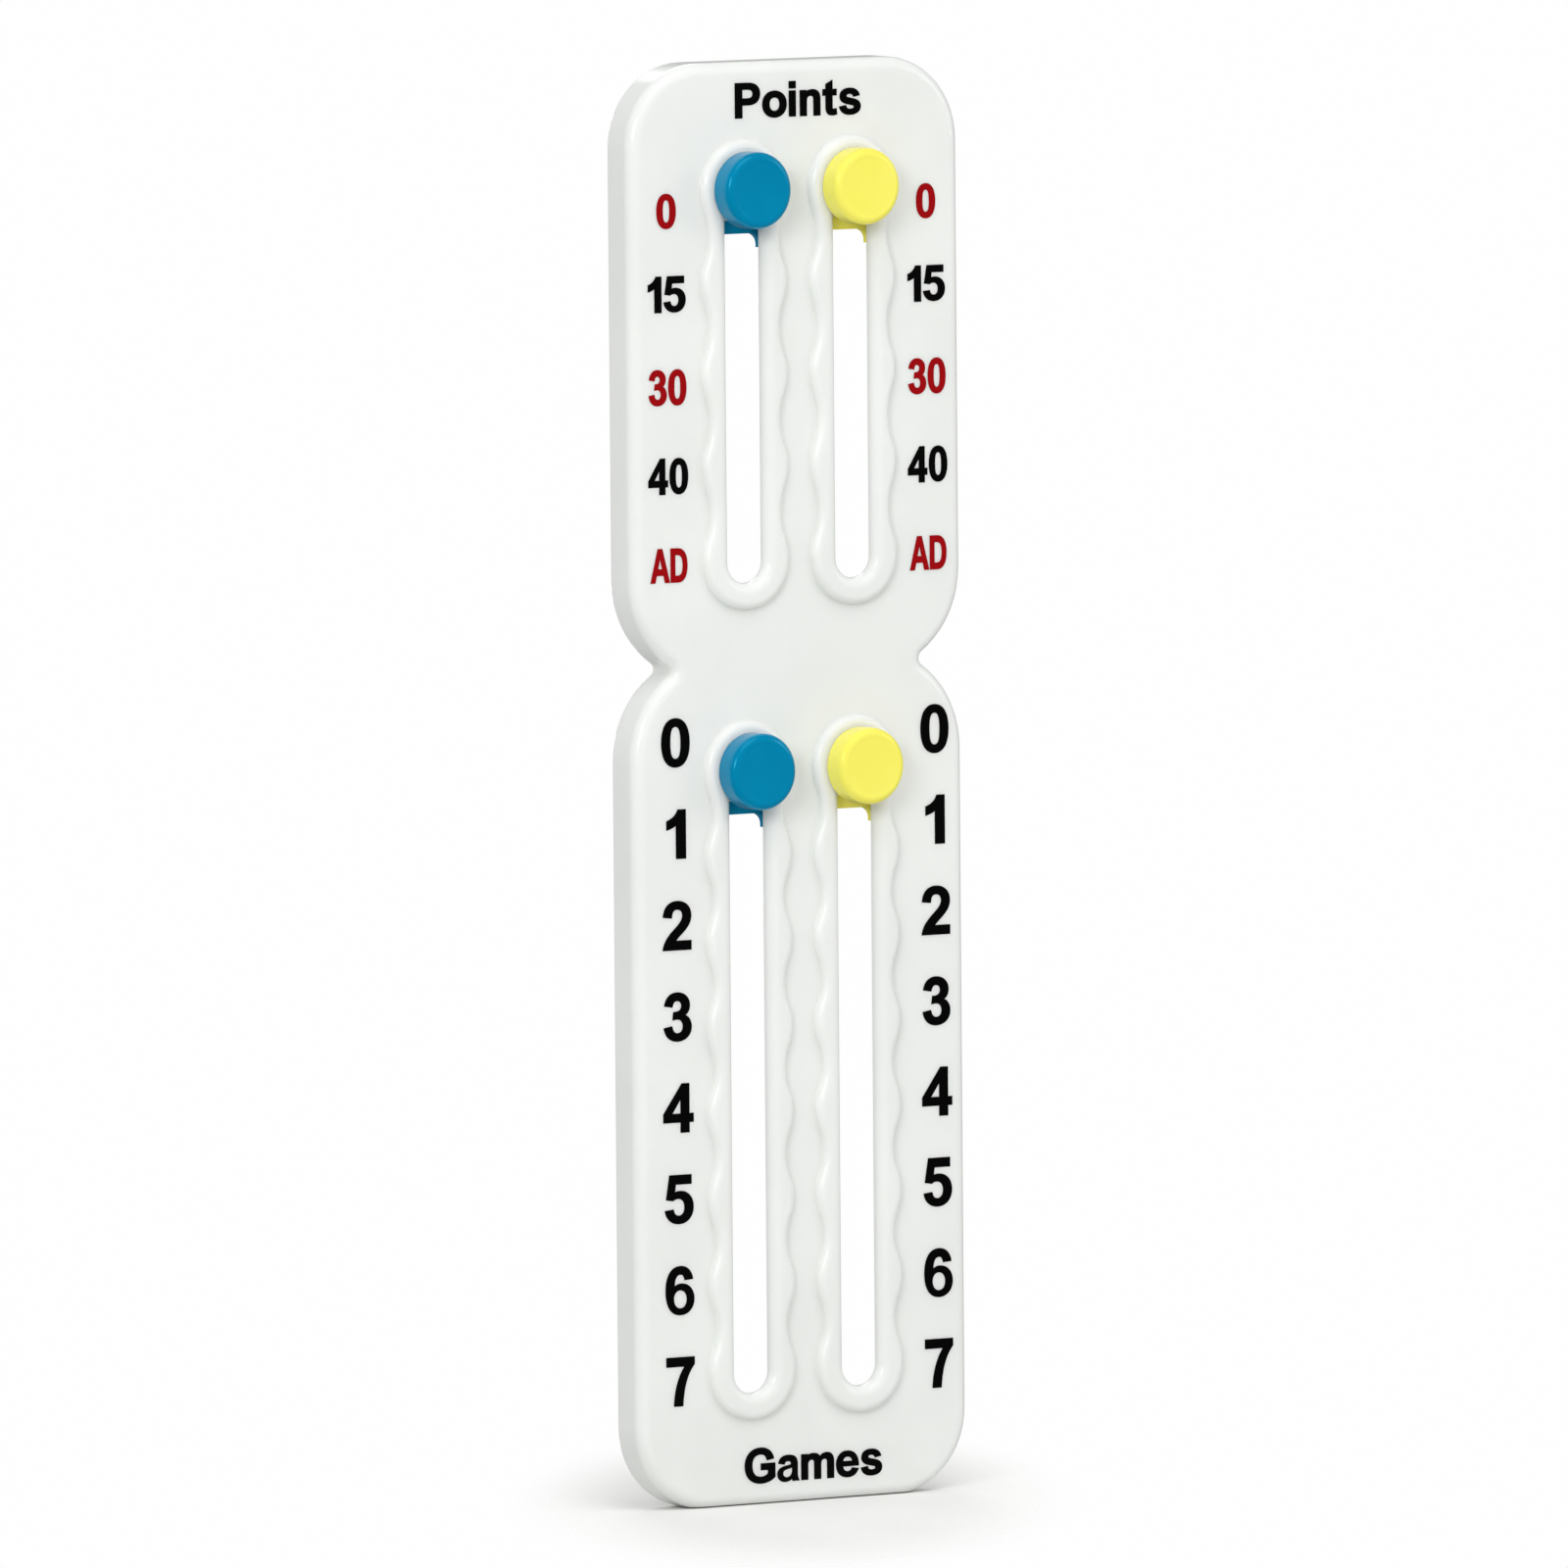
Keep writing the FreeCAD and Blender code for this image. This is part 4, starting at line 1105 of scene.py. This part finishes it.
@dataclass
class Studio:
    """White sweep, soft boxes and the camera at the photograph's angle."""

    azimuth_deg: float = -32.4
    elevation_deg: float = 4.4
    roll_deg: float = -0.46
    distance_m: float = 5.0
    sensor_mm: float = 36.0
    clip_m: Pair = (0.1, 100.0)
    frame_mm: float = 325.8
    target_mm: Triple = (-2.7, -2.4, 149.5)
    floor_radius_m: float = 0.3
    floor_sides: int = 96
    floor_reach_mm: Pair = (62.0, 150.0)
    floor_fade: Pair = (0.45, 1.0)
    floor_drop_mm: float = 0.3
    floor_colour: str = "#f7f7f5"
    floor_bounce: float = 0.72
    bright_side: Triple = (-0.2, -0.75, -0.05)
    sky: Pair = (0.45, 0.735)
    mirrored: float = 0.2
    backdrop: float = 0.995
    aim_m: Triple = (0.0, 0.0, 0.15)
    lights: tuple[SoftBox, ...] = (
        SoftBox("key_box", (-2.22, -1.77, 1.11), 0.9, 24.0),
        SoftBox("fill_box", (2.0, -1.6, 0.8), 0.8, 6.0),
        SoftBox("back_box", (0.6, 1.5, 1.6), 1.0, 7.0),
        SoftBox("top_box", (-0.25, -1.2, 2.0), 1.6, 13.0),
    )

    def floor(self) -> None:
        """Lays a pale floor under the object that fades into the white surround."""
        mesh = bpy.data.meshes.new("studio_floor")
        reach, drop = self.floor_radius_m, self.floor_drop_mm * MM
        ring = [(reach * math.cos(turn), reach * math.sin(turn), -drop) for turn in turns(self.floor_sides)]
        mesh.from_pydata(ring, [], [list(range(self.floor_sides))])
        # Matte paper: no gloss, so that it gives only a pale tone and a soft shadow
        material, tree = new_material("pale_paper_sweep")
        place = add_node(tree, "ShaderNodeTexCoord").outputs["Object"]
        oval = {
            "Vector": place,
            "Rotation": (0.0, 0.0, math.radians(self.azimuth_deg)),
            "Scale": (*(reach_mm * MM for reach_mm in self.floor_reach_mm), 1.0),
        }
        seen = add_node(tree, "ShaderNodeMapping", oval, vector_type="TEXTURE")
        away = add_node(tree, "ShaderNodeVectorMath", {0: seen.outputs[0]}, operation="LENGTH")
        spans = dict(enumerate((away.outputs["Value"], *self.floor_fade, 1.0, 0.0)))
        fade = add_node(tree, "ShaderNodeMapRange", spans, interpolation_type="SMOOTHSTEP")
        # Light that bounces off the paper is weaker than its tone, so that the foot doesn't glow
        bounced = add_node(tree, "ShaderNodeLightPath").outputs["Is Diffuse Ray"]
        weaker = {"Value": bounced, "To Min": 1.0, "To Max": self.floor_bounce}
        share = add_node(tree, "ShaderNodeMapRange", weaker)
        dimmed = {0: linear(self.floor_colour)[:3], "Scale": share.outputs[0]}
        paper = add_node(tree, "ShaderNodeVectorMath", dimmed, operation="SCALE")
        matte = {"Roughness": 1.0, "Specular IOR Level": 0.0}
        surface(tree, {"Base Color": paper.outputs[0], "Alpha": fade.outputs[0], **matte})
        mesh.materials.append(material)
        floor = new_object("studio_floor", mesh)

    def hang(self, box: SoftBox) -> None:
        """Hangs a soft box that faces the middle of the object.

        Args:
            box: The light to hang.
        """
        light = bpy.data.lights.new(box.name, "AREA")
        light.shape = "SQUARE"
        light.size = box.side
        light.energy = box.watts
        lamp = new_object(box.name, light)
        lamp.location = box.place
        lamp.rotation_mode = "QUATERNION"
        lamp.rotation_quaternion = (Vector(self.aim_m) - Vector(box.place)).to_track_quat("-Z", "Y")
        lamp.visible_camera = False

    def surround(self) -> None:
        """Sets a white surround that lights the object more from its bright side than from the other."""
        world = bpy.data.worlds.new("white_surround")
        bpy.context.scene.world = world
        world.use_nodes = True
        tree = world.node_tree
        tree.nodes.clear()
        towards = add_node(tree, "ShaderNodeTexCoord").outputs["Generated"]
        sides = {0: towards, 1: self.bright_side}
        lean = add_node(tree, "ShaderNodeVectorMath", sides, operation="DOT_PRODUCT")
        spans = dict(enumerate((lean.outputs["Value"], -1.0, 1.0, *self.sky)))
        light = add_node(tree, "ShaderNodeMapRange", spans)
        path = add_node(tree, "ShaderNodeLightPath").outputs
        # Reflections see a dimmer surround, and the camera an even white backdrop
        mirrored = {"Value": path["Is Glossy Ray"], "To Min": 1.0, "To Max": self.mirrored}
        share = add_node(tree, "ShaderNodeMapRange", mirrored)
        dimmed = {0: light.outputs[0], 1: share.outputs[0]}
        lit = add_node(tree, "ShaderNodeMath", dimmed, operation="MULTIPLY")
        seen = {"Value": path["Is Camera Ray"], "To Min": lit.outputs[0], "To Max": self.backdrop}
        level = add_node(tree, "ShaderNodeMapRange", seen)
        white = (1.0, 1.0, 1.0, 1.0)
        glow = add_node(tree, "ShaderNodeBackground", {"Color": white, "Strength": level.outputs[0]})
        add_node(tree, "ShaderNodeOutputWorld", {"Surface": glow.outputs[0]})

    def camera(self) -> None:
        """Sets up the camera at the photograph's viewing angle."""
        data = bpy.data.cameras.new("photo_camera")
        data.sensor_width = self.sensor_mm
        data.lens = self.sensor_mm * self.distance_m / (self.frame_mm * MM)
        data.clip_start, data.clip_end = self.clip_m
        camera = new_object("photo_camera", data)
        turn, rise = math.radians(self.azimuth_deg), math.radians(self.elevation_deg)
        back = Vector((math.sin(turn) * math.cos(rise), -math.cos(turn) * math.cos(rise), math.sin(rise)))
        place = Matrix.Translation(Vector(self.target_mm) * MM + back * self.distance_m)
        aim = (-back).to_track_quat("-Z", "Y").to_matrix().to_4x4()
        camera.matrix_world = place @ aim @ Matrix.Rotation(math.radians(self.roll_deg), 4, "Z")
        bpy.context.scene.camera = camera

    def build(self) -> None:
        """Builds floor, lights and camera."""
        bpy.context.scene.view_settings.view_transform = "Standard"
        self.floor()
        self.surround()
        for box in self.lights:
            self.hang(box)
        self.camera()


def main() -> None:
    """Builds the object's looks and its studio."""
    logging.basicConfig(level=logging.INFO, format="%(name)s: %(message)s")
    Board(ScorePrint(), EjectorMarks()).build()
    Markers(FingerKnob(), PanHeadScrew()).build()
    Studio().build()


if __name__ == "__main__":
    main()
